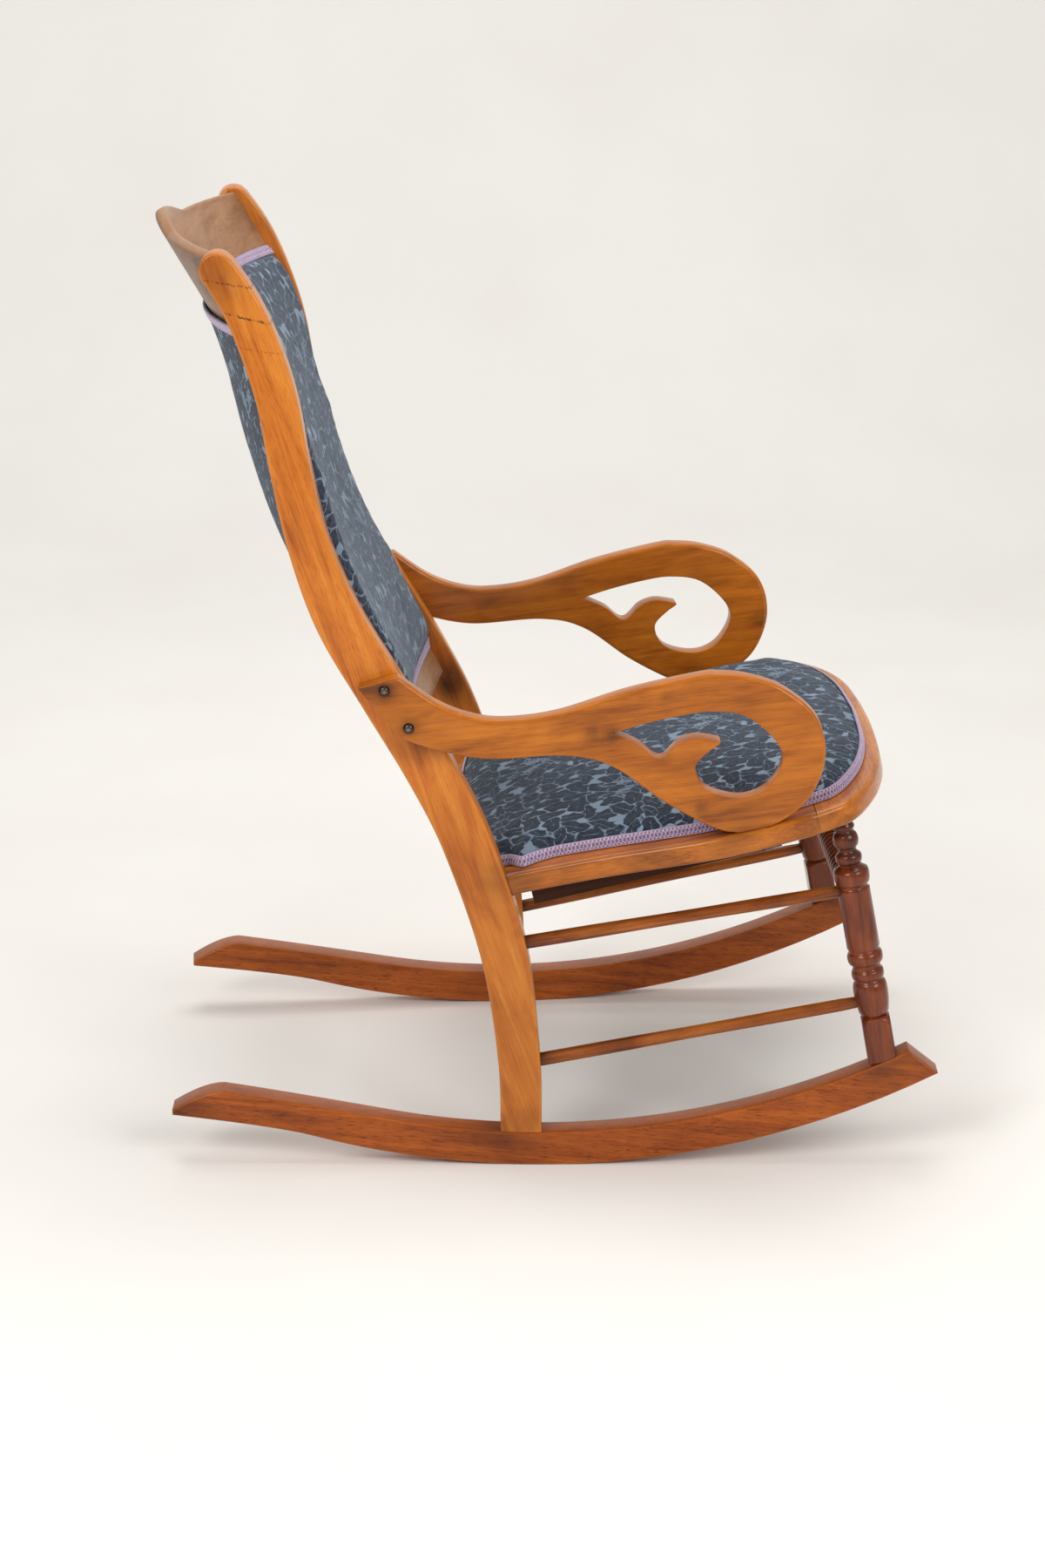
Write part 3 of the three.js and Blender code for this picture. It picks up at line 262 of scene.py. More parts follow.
def reckon(material, operation, first, second, third=0.0):
    """One sum in a shader. MULTIPLY_ADD is the first times the second, plus the third."""
    return add_node(material, "Math", {"operation": operation}, i0=first, i1=second, i2=third).outputs[0]


def ranged(material, value, low, high, to_low=0.0, to_high=1.0):
    """The value moved from one range to another, and held within it."""
    return add_node(material, "MapRange", Value=value, From_Min=low, From_Max=high, To_Min=to_low,
                    To_Max=to_high).outputs[0]


def ramp(material, share, *stops):
    """A colour that runs from stop to stop with the share."""
    return add_node(material, "ValToRGB", {"stops": stops}, Fac=share).outputs[0]


def blended(material, share, colour, other):
    """The colour with a share of the other one in it."""
    return add_node(material, "Mix", {"data_type": "RGBA"}, i0=share, i6=colour, i7=other).outputs[2]


def bumped(material, height, strength, distance=0.0004):
    """The surface's direction, tilted as the height in metres would tilt it."""
    return add_node(material, "Bump", Height=height, Strength=strength, Distance=distance).outputs[0]


def surfaced(material, **inputs):
    """The material, ended with one surface that has these inputs."""
    shader = add_node(material, "BsdfPrincipled", **inputs)
    add_node(material, "OutputMaterial", Surface=shader.outputs[0])
    return material


def varnished_wood(name, pale, mid, deep, pores=1.0, roughness=0.34, coat=0.3, blotches=0.5, marks=()):
    """Old varnished hardwood, on a grain coordinate in millimetres (along, across, through). Growth bands
    about 18 mm wide and 300 mm long, fibres 1.3 mm by 80 mm, and open pores drawn 0.9 mm by 13 mm, coarser
    than real so that they show. The stain lies in soft blotches; dirt and painted shade darken it where the
    piece says so, and the arrises are painted paler, as worn varnish and a painted highlight.
    A mark is a broken dark scratch: its place along the grain, its lean, its half width and its strength."""
    material = new_material(name)
    grain = given(material, "grain", "Vector")
    sums, between = partial(reckon, material), partial(ranged, material)

    def cloudy(along, across, detail=3.0, distortion=0.0, place=(0, 0, 0)):
        scaled = add_node(material, "Mapping", Vector=grain, Location=place,
                          Scale=(1 / along, 1 / across, 1 / across))
        return add_node(material, "TexNoise", Vector=scaled.outputs[0], Scale=1.0, Detail=detail, Roughness=0.6,
                        Distortion=distortion).outputs["Fac"]

    bands, fibres, pore = cloudy(300, 18, 2.0, 1.2), cloudy(80, 1.3), cloudy(13, 0.9, 1.0, 0.0, (5, 3, 1))
    blotch, ragged = cloudy(90, 45, 3.0, 0.4, (7, 2, 4)), cloudy(6, 3, 2.0, 0.0, (1, 8, 2))
    depth = sums("MULTIPLY_ADD", fibres, 0.45, sums("MULTIPLY", blotch, blotches))
    depth = sums("MULTIPLY_ADD", bands, 0.75, depth)
    middle = 0.6 + 0.5 * blotches
    colour = ramp(material, between(depth, middle - 0.27, middle + 0.27), (0, deep), (0.45, mid), (1, pale))
    open_pore = between(pore, 0.58, 0.7, 0.0, 0.55 * pores)
    dark = sums("MAXIMUM", open_pore,
                sums("MULTIPLY", given(material, "soil"), between(blotch, 0.3, 0.65, 1.1, 0.5)))
    axes = add_node(material, "SeparateXYZ", Vector=grain)
    for place, lean, width, strength in marks:
        line = sums("MULTIPLY_ADD", axes.outputs[1], -lean, axes.outputs[0])
        line = sums("ABSOLUTE", sums("SUBTRACT", line, sums("MULTIPLY_ADD", ragged, 5.0, place - 2.5)), 0.0)
        broken = between(cloudy(30, 2.2, 2.0, 0.0, (place, 3, 9)), 0.42, 0.52)
        line = sums("MULTIPLY", between(line, width * 0.4, width, strength, 0.0), broken)
        dark = sums("MAXIMUM", dark, line)
    dark = sums("MINIMUM", dark, 0.92)
    # Arrises are painted toward the pale colour: worn varnish and a painted highlight along the rounding.
    worn_and_lit_share = sums("MULTIPLY", given(material, "wear"), sums("MULTIPLY", fibres, 0.5))
    colour = blended(material, worn_and_lit_share, blended(material, dark, colour, linear("#2a1208")), linear(pale))
    dull = sums("MULTIPLY_ADD", fibres, 0.12, sums("MULTIPLY_ADD", dark, 0.2, roughness - 0.06))
    height = sums("SUBTRACT", sums("MULTIPLY", fibres, 0.5), open_pore)
    return surfaced(material, Base_Color=colour, Roughness=dull, Normal=bumped(material, height, 0.35), IOR=1.5,
                    Specular_IOR_Level=0.16, Coat_Weight=coat, Coat_Roughness=0.12, Coat_IOR=1.5)


def grain_along(points, direction, seed):
    """Grain coordinates: how far each point lies along the board, across it and through it, in millimetres.
    The seed moves each board to its own part of the tree."""
    along = np.array(direction, float) / np.linalg.norm(direction)
    through = np.cross(along, (0, 0, 1)) if abs(along[2]) < 0.9 else np.cross(along, (0, 1, 0))
    through /= np.linalg.norm(through)
    return points @ np.stack([along, np.cross(through, along), through]).T + np.array([377, 91, 53]) * seed


def dirt_and_shade_round(points, *places):
    """Dirt and painted shade round each place: its strength times e to the power of minus the distance squared
    over the reach squared; the strongest counts."""
    amounts = [strength * np.exp(-((points - np.array(place)) ** 2).sum(1) / reach ** 2)
               for place, reach, strength in places]
    return np.max(amounts, 0)


def fitted(piece, slot, *nodes):
    """The piece rides on the chair's one body and stands for its solids, which are hidden. The slot is not used."""
    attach(piece, "root")
    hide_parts(*nodes)
    return piece


def wooden(name, slot, node, points, edges, faces, wood, direction, seed, soil=0.0, wear=0.0, smooth_angle=40,
           origin=(0, 0, 0)):
    """A piece of this wood with its grain in the direction, measured from the origin, that stands for a node."""
    flat = np.zeros(len(points))
    piece = add_piece(name, points, edges, faces, wood, smooth_angle, wear=flat + wear, soil=flat + soil,
                      grain=grain_along(points - np.array(origin), direction, seed))
    return fitted(piece, slot, node)


def rocker_top(y):
    """Height of the rocker's upper arc: its centre's height less the root of radius squared less reach squared."""
    return rocker_radius - np.sqrt(rocker_top_radius ** 2 - (y - contact_y) ** 2)


# Coarse ash-like board under an amber varnish: open pores, strong streaks, satin gloss; its colours are
# painted darker than the posts' as painted shade
rocker_wood_painted_darker = varnished_wood("amber_varnished_ash", "#ba6019", "#994a10", "#6a2b08", pores=1.2)
toe_reach, tail_reach, heel_reach, arc_reach = 425, 250, 392, 160
half_flats = 27
half_flat = math.asin(toe_reach / rocker_radius) / half_flats
tail_angle = (2 * int((math.asin(tail_reach / rocker_radius) / half_flat - 1) / 2) + 1) * half_flat
under = np.arange(-half_flats, round(tail_angle / half_flat) + 1, 2) * half_flat
under = np.column_stack([contact_y + rocker_radius * np.sin(under), rocker_radius * (1 - np.cos(under))])
tail_y, tail_z = under[-1]
heel_y, hollow_y = contact_y + heel_reach, contact_y + 337
reach = np.linspace(arc_reach, -393, 90)
top_slope = -math.acos(arc_reach / rocker_top_radius)
top_start = (contact_y + arc_reach, rocker_radius + rocker_top_radius * math.sin(top_slope))
rocker_outline = np.vstack([
    even(under, 6),
    bezier((tail_y, tail_z), (tail_y + 38 * math.cos(tail_angle), tail_z + 38 * math.sin(tail_angle)),
           (heel_y, 57))[1:],
    bezier((heel_y, 63), (heel_y - 33, 84), (hollow_y, 84)),
    bezier((hollow_y, 84), (top_start[0] - 122 * math.sin(top_slope), top_start[1] + 122 * math.cos(top_slope)),
           top_start)[1:],
    np.column_stack([contact_y + reach, rocker_top(contact_y + reach)])[1:]])
board, edges, faces, wear = sawn_board([rocker_outline], board_thickness, [2.5])
for side, sign in both_sides:
    points = on_side(board) * (sign, 1, 1)
    soil = dirt_and_shade_round(points, ((-242 * sign, 20, 44), 34, 0.75), ((-262 * sign, -380, 128), 34, 0.8),
                  ((-240 * sign, 378, 60), 40, 0.7), ((-260 * sign, -435, 110), 26, 0.6))
    wooden("rocker_board_" + side, "honey_wood", "rocker_" + side, points, edges, faces, rocker_wood_painted_darker, (0, 1, 0.1),
           1 + sign, soil, wear)

# Back posts: sawn to a sweep from one thickness of board, doweled to the rockers and rounded at the top.
# The far board is stained under the lower rail; old scratches cross the near one under its top.
post_foot_y = 5
post_foot_z = float(rocker_top(post_foot_y))
post_reach, post_height, post_width = 313, 939.5, 52
post_sweep = np.array([0, 0.007, 0.059, 0.179, 0.302, 0.45, 0.595, 0.691, 0.747, 0.793, 0.885, 1]) * post_reach
post_rise = np.array([0, 0.089, 0.217, 0.344, 0.43, 0.515, 0.6, 0.685, 0.77, 0.855, 0.94, 1]) * post_height
post_widths = np.array([0.84, 0.87, 0.95, 0.99, 0.98, 0.97, 0.94, 0.81, 0.79, 0.77, 0.67]) * post_width
post_line = spline(np.column_stack([post_foot_y + post_sweep, post_foot_z + post_rise]), 200)
post_run = np.r_[0, np.cumsum(np.linalg.norm(np.diff(post_line, axis=0), axis=1))]
post_length = post_run[-1]
width_line = spline(np.column_stack([np.linspace(0, post_length, 11), post_widths]), 20)


def along_post(distance):
    """The point of the post's middle line at a distance up it, the unit step up and the unit step ahead.
    Beyond the ends the line goes straight on."""
    distance = np.asarray(distance, float)
    held = np.clip(distance, 0.5, post_length - 0.5)
    at = lambda run: np.stack([np.interp(run, post_run, post_line[:, k]) for k in (0, 1)], -1)
    up = at(held + 0.5) - at(held - 0.5)
    up /= np.linalg.norm(up, axis=-1, keepdims=True)
    return at(held) + up * (distance - held)[..., None], up, np.stack([-up[..., 1], up[..., 0]], -1)


def post_half(distance):
    """Half the post's width at a distance up it."""
    return np.interp(distance, width_line[:, 0], width_line[:, 1]) / 2


top_radius = float(post_half(post_length))
distance = np.linspace(-6, post_length - top_radius, 190)
middle, up, ahead = along_post(distance)
front_edge = middle + ahead * post_half(distance)[:, None]
rear_edge = middle - ahead * post_half(distance)[:, None]
angle = np.linspace(0, math.pi, 25)[1:-1, None]
round_top = middle[-1] - ahead[-1] * top_radius * np.cos(angle) + up[-1] * top_radius * np.sin(angle)
foot_line = np.linspace(front_edge[0], rear_edge[0], 8)[1:-1]
post_outline = np.vstack([rear_edge, round_top, front_edge[::-1], foot_line])
post_outline[:, 1] = np.maximum(post_outline[:, 1], rocker_top(post_outline[:, 0]) + fit)
post_outline = post_outline[np.linalg.norm(post_outline - np.roll(post_outline, 1, 0), axis=1) > 0.4]
post_arris = np.where(post_outline[:, 1] < post_foot_z + 6, 0.4, 3.0)
# The same ash-like board; the near post carries three scratches left by an old clamp or strap
post_wood = varnished_wood("amber_varnished_ash_scratched", "#e08e35", "#c97124", "#9c4d17", pores=0.6,
                           marks=((964.8, 0.54, 1.6, 0.75), (931.7, 0.63, 1.8, 0.8), (895.1, 0.52, 1.0, 0.4)))
board, edges, faces, wear = sawn_board([post_outline], board_thickness, [post_arris])
for side, sign in both_sides:
    points = on_side(board) * (sign, 1, 1)
    # The widest spot, reaching 250 mm round a place low on each post, is painted shade: the post darkens towards its
    # foot.
    soil = dirt_and_shade_round(points, ((-252 * sign, 4, 50), 26, 0.6), ((-240 * sign, 22, 322), 34, 0.8),
                  ((-250 * sign, 10, 180), 250, 0.34), ((-250 * sign, 108, 486), 30, 0.75),
                  ((-222 * sign, 73, 394), 34, 1.1 if sign < 0 else 0.5), ((-226 * sign, 305, 955), 40, 0.5),
                  ((-238 * sign, 25, 250), 20, 0.5), ((-238 * sign, 12, 116), 20, 0.6))
    wooden("back_post_board_" + side, "honey_wood", "back_post_" + side, points, edges, faces, post_wood,
           (0, 0.32, 0.95), 0 if sign > 0 else 5, soil, wear, origin=(0, post_foot_y, post_foot_z))

# Front legs: turned from square stock in dark-stained wood. A short square foot stands on the rocker, and
# where the turning runs out into the square each face ends in a round arch. Beads and coves ring the top.
board_middle = board_thickness / 2
seat_rise = 0.2343
seat_slope = math.atan(seat_rise)
seat_height = 332
seat_thickness = 24.5
leg_foot_y, leg_top_y, leg_lean = -380, -331, 8
leg_foot = np.array([board_middle, leg_foot_y, float(rocker_top(leg_foot_y))])
leg_top = np.array([board_middle + leg_lean, leg_top_y,
                    seat_height - leg_top_y * seat_rise - seat_thickness / math.cos(seat_slope) - fit])
leg_length = float(np.linalg.norm(leg_top - leg_foot))
leg_radius = 19
leg_profile = np.array([
    [0.09, 0.66], [0.1, 0.655], [0.125, 0.66], [0.15, 0.7], [0.175, 0.77], [0.2, 0.84], [0.225, 0.9], [0.245, 0.94],
    [0.27, 0.965], [0.292, 0.97], [0.31, 0.95], [0.325, 0.9], [0.328, 0.86], [0.334, 0.8], [0.338, 0.79], [0.342, 0.81],
    [0.345, 0.88], [0.352, 0.905], [0.36, 0.91], [0.368, 0.905], [0.376, 0.88], [0.379, 0.82], [0.385, 0.79],
    [0.393, 0.78], [0.4, 0.79], [0.404, 0.84], [0.408, 0.93], [0.418, 0.985], [0.43, 1.0], [0.442, 0.985],
    [0.452, 0.93], [0.456, 0.85], [0.462, 0.83], [0.466, 0.86], [0.472, 0.92], [0.53, 0.92], [0.59, 0.915],
    [0.65, 0.905], [0.7, 0.9], [0.714, 0.895], [0.718, 0.82], [0.727, 0.79], [0.734, 0.82], [0.738, 0.92],
    [0.745, 0.96], [0.757, 0.99], [0.771, 1.0], [0.785, 0.985], [0.795, 0.94], [0.799, 0.86], [0.806, 0.72],
    [0.812, 0.6], [0.818, 0.6], [0.822, 0.66], [0.83, 0.72], [0.841, 0.74], [0.852, 0.72], [0.858, 0.66],
    [0.864, 0.54], [0.872, 0.49], [0.88, 0.5], [0.886, 0.57], [0.895, 0.66], [0.91, 0.71], [0.925, 0.7],
    [0.938, 0.64], [0.945, 0.56], [0.95, 0.5], [0.956, 0.5], [0.96, 0.56], [0.968, 0.6], [0.976, 0.58], [0.984, 0.5],
    [0.994, 0.48], [0.998, 0.44]])


def turned_piece(profile, start, end, around=48, square=None):
    """A turned shape: the profile (distance, radius) swept round the line from start to end, with both ends
    closed. Square gives half the stock's width and a wider profile for the foot: there each point's radius is
    the smaller of that profile and the square's own edge, half over the greater of |cos| and |sin|."""
    axis = (end - start) / np.linalg.norm(end - start)
    across = np.cross(axis, (1, 0, 0)) if abs(axis[0]) < 0.9 else np.cross(axis, (0, 0, 1))
    across /= np.linalg.norm(across)
    beside = np.cross(axis, across)
    angle = np.arange(around) * 2 * math.pi / around
    radius = np.repeat(profile[:, 1:2], around, 1)
    if square:
        half, limit = square
        edge = np.minimum(half / np.maximum(np.abs(np.cos(angle)), np.abs(np.sin(angle))), half * 1.33)
        foot = np.minimum(edge[None], limit[:, None])
        radius = np.where(limit[:, None] > 0, foot, radius)
    shell = (start + profile[:, :1, None] * axis + radius[..., None] *
             (np.cos(angle)[:, None] * across + np.sin(angle)[:, None] * beside))
    rows, k = len(profile), np.arange(around)
    here = np.arange(rows - 1)[:, None] * around
    faces = np.stack([here + k, here + (k + 1) % around, here + (k + 1) % around + around, here + k + around], -1)
    points = np.vstack([shell.reshape(-1, 3), start + profile[0, 0] * axis, start + profile[-1, 0] * axis])
    low, high = rows * around, rows * around + 1
    last = (rows - 1) * around
    ends = np.vstack([np.stack([(k + 1) % around, k, np.full(around, low)], 1),
                      np.stack([last + k, last + (k + 1) % around, np.full(around, high)], 1)])
    return points, [faces.reshape(-1, 4)], [ends]


def on_right(points):
    """Side-frame points (inwards, y, z) placed in the chair."""
    return on_side(points[:, [1, 2, 0]])


# Birch-like turned wood under a dark red-brown stain and a thick gloss varnish: the grain hardly shows
leg_wood = varnished_wood("dark_stained_turned_birch", "#8a3f15", "#65290c", "#3d1606", pores=0.35, roughness=0.3,
                          coat=0.55, blotches=0.8)
turned_profile = leg_profile * (leg_length, leg_radius)
foot_half, foot_neck, square_top, arch_top = 15.2, 12.5, 30, 50
foot_rows = np.r_[0, np.linspace(2, square_top, 12), np.linspace(square_top + 1, arch_top, 20)]
upper_rows = turned_profile[turned_profile[:, 0] > arch_top + 0.5]
arch = np.sqrt(np.clip(1 - ((foot_rows - square_top) / (arch_top - square_top)) ** 2, 0, 1))
profile = np.vstack([np.column_stack([foot_rows, np.full(len(foot_rows), foot_neck)]), upper_rows])
limit = np.r_[np.where(foot_rows < square_top, 2 * foot_half, foot_neck + 9.2 * arch), np.zeros(len(upper_rows))]
for side, sign in both_sides:
    leg, faces, ends = turned_piece(profile, leg_foot, leg_top, 64, (foot_half, limit))
    leg[:, 2] = np.maximum(leg[:, 2], rocker_top(leg[:, 1]) + fit)
    points = on_right(leg) * (sign, 1, 1)
    height = (leg[:, 2] - leg_foot[2]) / (leg_top[2] - leg_foot[2])
    groove = np.interp(height, leg_profile[:, 0], np.interp(leg_profile[:, 1], [0.5, 0.9], [0.75, 0.0]))
    soil = np.maximum(groove * (height > 0.3), dirt_and_shade_round(points, ((-273 * sign, -392, leg_foot[2]), 20, 0.8)))
    wooden("front_leg_turning_" + side, "dark_wood", "front_leg_" + side, points, faces, ends, leg_wood,
           (0, 0.15, 1), 3 + sign, soil, smooth_angle=50)

# Side stretchers: plain tapered rods, two on each side, let into the posts and legs. Their varnish is paler
# than that of the legs, and dirt lies where they enter.
rod_wood = varnished_wood("dark_varnished_birch_rod", "#a9601f", "#854211", "#552408", pores=0.5, roughness=0.3,
                          coat=0.45, blotches=0.9)
tenon = 16


def on_leg(height):
    """The point of the right leg's middle line at this height, in the side frame."""
    return leg_foot + (leg_top - leg_foot) * ((height - leg_foot[2]) / (leg_top[2] - leg_foot[2]))


for name, rear_z, front_z in (("upper", 249, 307), ("lower", 116, 184)):
    front = on_leg(front_z)
    point, _, ahead = along_post(rear_z - post_foot_z)
    mouth = np.array([board_middle, point[0] + ahead[0] * post_half(rear_z - post_foot_z), rear_z])
    step = (front - mouth) / np.linalg.norm(front - mouth)
    rear, front = mouth - step * tenon, front - step * (leg_radius - 11)
    share = np.linspace(0, 1, 60)
    swell = 7.3 - 0.7 * share + 0.35 * np.sin(share * 9) * np.sin(share * math.pi)
    taper = np.interp(share, [0, 0.05, 0.93, 1], [-0.6, 0, 0, -0.9])
    profile = np.column_stack([share * np.linalg.norm(front - rear), swell + taper])
    for side, sign in both_sides:
        rod, faces, ends = turned_piece(profile, rear, front, 28)
        points = on_right(rod) * (sign, 1, 1)
        soil = dirt_and_shade_round(points, (on_right(mouth[None])[0] * (sign, 1, 1), 16, 0.85),
                      (on_right(front[None])[0] * (sign, 1, 1), 22, 0.85))
        wooden(name + "_rod_" + side, "dark_wood", name + "_side_stretcher_" + side, points, faces, ends, rod_wood,
               step, 6 + sign + rear_z / 100, soil)

# Front stretcher: one rail turned in close round rings from leg to leg, dark and glossy, and darker between
# the rings. Rear stretcher: a plain rail between the posts, tapered at its ends.
start = on_right(on_leg(299)[None])[0] + (leg_radius - 11, 0, 0)
length = -2 * start[0]
shoulder = 11 + fit
least_pitch = 11.6
rings = int((length - 2 * shoulder) / least_pitch)
pitch = (length - 2 * shoulder) / rings
turn = np.arange(rings * 12 + 1) / 12
bead = 10.3 + 4.4 * np.abs(np.sin(math.pi * turn)) ** 0.55
profile = np.vstack([[0, 6], [shoulder, 6], np.column_stack([shoulder + 0.1 + (pitch - 0.2 / rings) * turn, bead]),
                     [length - shoulder, 6], [length, 6]])
points, faces, ends = turned_piece(profile, start, start + (length, 0, 0), 36)
radius = np.hypot(points[:, 1] - start[1], points[:, 2] - start[2])
soil = np.interp(radius, [9, 13.4], [0.95, 0.0])
wooden("front_stretcher_turning", "dark_wood", "front_stretcher", points, faces, ends, leg_wood, (1, 0, 0), 9, soil,
       smooth_angle=50)

rod_z = 186
point, _, _ = along_post(rod_z - post_foot_z)
start = on_right(np.array([[board_thickness, point[0], rod_z]]))[0] - (tenon, 0, 0)
length = -2 * start[0]
ends_at = np.array([0, 16.6, 24, 36, 52, 76.6, 110])
radii = np.array([6.5, 6.5, 7.3, 8.3, 9.2, 10, 10.2])
profile = np.vstack([np.column_stack([ends_at, radii]), np.column_stack([length - ends_at, radii])[::-1]])
points, faces, ends = turned_piece(profile, start, start + (length, 0, 0), 32)
wooden("rear_stretcher_rod", "dark_wood", "rear_stretcher", points, faces, ends, rod_wood, (1, 0, 0), 10)

# Seat frame: four bull-nosed boards in one plane that rises to the front, butted and tenoned. The front board
# meets the side boards just ahead of the arms. Dirt lies in the joints, and a painted shadow darkens the
# boards under the arms' feet.
seat_rear_y = 12
seat_front_y = -401
seat_half_width = 292
joint_y = -308
back_joint_y = 24
seat_side = np.array([[0.863, 0], [0.88, 0.108], [0.91, 0.242], [0.945, 0.35], [0.985, 0.475], [1, 0.56],
                      [0.996, 0.66], [0.98, 0.757]])
seat_front = np.array([[0.98, 0.757], [0.955, 0.82], [0.915, 0.87], [0.815, 0.915], [0.658, 0.958],
                       [0.43, 0.988], [0, 1]])


def seat_place(shares):
    """A share of the half width and a share of the depth, as a place in the seat's plane on the right side."""
    return np.stack([-seat_half_width * shares[:, 0], seat_rear_y + (seat_front_y - seat_rear_y) * shares[:, 1]], 1)


def in_seat(points):
    """Seat-plane points (x, y, z above the boards' top) turned by the slope and raised to the seat's height."""
    x, y, z = points.T
    return np.stack([x, y * math.cos(seat_slope) + z * math.sin(seat_slope),
                     seat_height - y * math.sin(seat_slope) + z * math.cos(seat_slope)], 1)


side_line = spline(seat_place(seat_side), 30)
front_line = spline(np.vstack([seat_place(seat_front), seat_place(seat_front)[-2::-1] * (-1, 1)]), 30)
right_half = front_line[:len(front_line) // 2]
joint_x = float(np.interp(-joint_y, -right_half[:, 1], right_half[:, 0]))
lower_front = front_edge[:60][np.argsort(front_edge[:60, 1])]
# Amber varnish on plainer wood than the side frames, darkened along the joints and where hands hold the rail
rail_wood = varnished_wood("amber_varnished_seat_board", "#cd7a22", "#ab5c13", "#70340a", pores=0.8, roughness=0.28,
                           coat=0.45, blotches=0.8)


def bull_nosed(name, node, nosed, plain, along, seed, *places):
    """A seat board in the seat's plane, between a line that is worked to a nose and one that is left square.
    Beside a post it is cut back to the post's front edge."""
    outline = np.vstack([nosed, plain])
    arris = np.r_[np.full(len(nosed) - 1, 6.0), np.full(len(plain) + 1, 0.4)]
    kept = np.linalg.norm(outline - np.roll(outline, -1, 0), axis=1) > 0.3
    board, edges, faces, wear = sawn_board([outline[kept]], seat_thickness, [arris[kept]], steps=7)
    board[:, 2] -= seat_thickness
    points = in_seat(board)
    front = np.interp(points[:, 2], lower_front[:, 1], lower_front[:, 0]) - 2 * fit
    beside = (np.abs(points[:, 0]) > 225) & (points[:, 1] > front) & (points[:, 1] < front + 30)
    points[beside, 1] = front[beside]
    wooden(name, "honey_wood", node, points, edges, faces, rail_wood, along, seed, dirt_and_shade_round(points, *places), wear * 0.6)


outer = even(np.vstack([side_line[side_line[:, 1] > joint_y], [joint_x, joint_y]]), 3)
outer = np.vstack([[outer[0, 0], back_joint_y], outer])
inner = np.array([[-240, joint_y], [-226.2, joint_y], [-209, -142], [-192, back_joint_y], [-212, back_joint_y],
                  [-232, back_joint_y]])
for side, sign in both_sides:
    bull_nosed("seat_side_board_" + side, "seat_side_rail_" + side, outer * (sign, 1), inner * (sign, 1),
               (0.1, 1, -0.23), 11 + sign, ((-284 * sign, -300, 392), 16, 0.7),
               ((-275 * sign, -215, 384), 26, 0.75), ((-262, -131, 348), 7, 0.9), ((-252 * sign, 10, 325), 24, 0.85),
               ((-280 * sign, -120, 352), 30, 0.4), ((-236 * sign, -260, 366), 40, 0.6))

front_joint_y = joint_y - fit
front_run = even(np.vstack([[joint_x, front_joint_y], front_line[front_line[:, 1] < front_joint_y - 1],
                            [-joint_x, front_joint_y]]), 3)
straight = np.column_stack([np.linspace(-joint_x - 12, joint_x + 12, 40), np.full(40, front_joint_y)])
bull_nosed("seat_front_board", "seat_front_rail", front_run, straight, (1, 0, 0), 14,
           ((-284, -308, 395), 14, 0.7), ((284, -308, 395), 14, 0.7), ((-250, -330, 372), 34, 0.6),
           ((250, -330, 372), 34, 0.6))

back_board_y = 80
rear_half = side_half_width - board_thickness - fit - back_board_y * math.tan(side_splay)
share = np.linspace(-1, 1, 90)
rear_run = np.column_stack([rear_half * share, back_board_y - 29 * share ** 2])
straight = np.column_stack([np.linspace(rear_half, -rear_half, 40), np.full(40, back_joint_y + fit)])
bull_nosed("seat_back_board", "seat_back_rail", rear_run, straight, (1, 0, 0), 15,
           ((-222, 60, 322), 26, 0.7), ((222, 60, 322), 26, 0.7))

# Bearers: a square strip screwed under each side board, left rough and nearly black with old stain.
bearer_depth = 20
bearer_wood = varnished_wood("rough_stained_bearer", "#4a2614", "#34190d", "#1f0f08", roughness=0.6, coat=0.0)
for side, sign in both_sides:
    outline = np.array([[-7, 0], [7, 0], [7, -268], [-7, -268]], float) + (226 * sign, 0)
    board, edges, faces, wear = sawn_board([outline], bearer_depth, [0.8])
    board[:, 2] = -seat_thickness - fit - bearer_depth + board[:, 2]
    wooden("seat_bearer_" + side, "dark_wood", "seat_side_bearer_" + side, in_seat(board), edges, faces, bearer_wood,
           (0, 1, -0.23), 16 + sign, wear=wear)

# Arms: each a board of close-grained wood sawn to a scroll with an open eye and a tongue. The outer arris is
# worked with a small step and a round. The varnish is cloudy, and the far arm is browner than the near one.
arm_tail_y = 173
arm_length = 481
arm_height = 170.7
arm_thickness = 21
arm_splay = math.radians(0.33)
arm_low_z = seat_height + (arm_length * (1 - 0.182) - arm_tail_y) * seat_rise
arm_top = [[0.914, 0.977], [0.834, 0.816], [0.76, 0.732], [0.685, 0.708], [0.574, 0.752], [0.425, 0.89],
           [0.277, 0.989], [0.229, 1], [0.166, 0.98], [0.092, 0.904], [0.021, 0.728], [0, 0.476], [0.033, 0.213],
           [0.108, 0.045], [0.182, 0], [0.238, 0.031], [0.341, 0.187], [0.454, 0.412], [0.557, 0.481],
           [0.724, 0.46], [0.836, 0.52], [0.906, 0.585]]
eye_rim = [[0.457, 0.627], [0.391, 0.685], [0.316, 0.737], [0.243, 0.766], [0.168, 0.73], [0.106, 0.576],
           [0.093, 0.441], [0.127, 0.281], [0.183, 0.222], [0.254, 0.277], [0.278, 0.418], [0.245, 0.527]]
eye_tongue = [[0.245, 0.527], [0.225, 0.57], [0.241, 0.588], [0.279, 0.601], [0.316, 0.564], [0.355, 0.469],
              [0.399, 0.556], [0.437, 0.608]]


def arm_line(shares, step):
    """Shares of the arm's length and height as a smooth line with points a step apart."""
    places = np.array(shares) * (arm_length, arm_height) + (-arm_length, arm_low_z)
    return even(spline(places, 24), step)


def on_arm(points):
    """Arm board points (y from the tail, z, depth outwards) placed on the outer face of the right post."""
    y, z, outward = points.T
    inward = -fit - outward * math.cos(arm_splay) + y * math.sin(arm_splay)
    along = arm_tail_y + outward * math.sin(arm_splay) + y * math.cos(arm_splay)
    return on_side(np.stack([along, z, inward], 1))


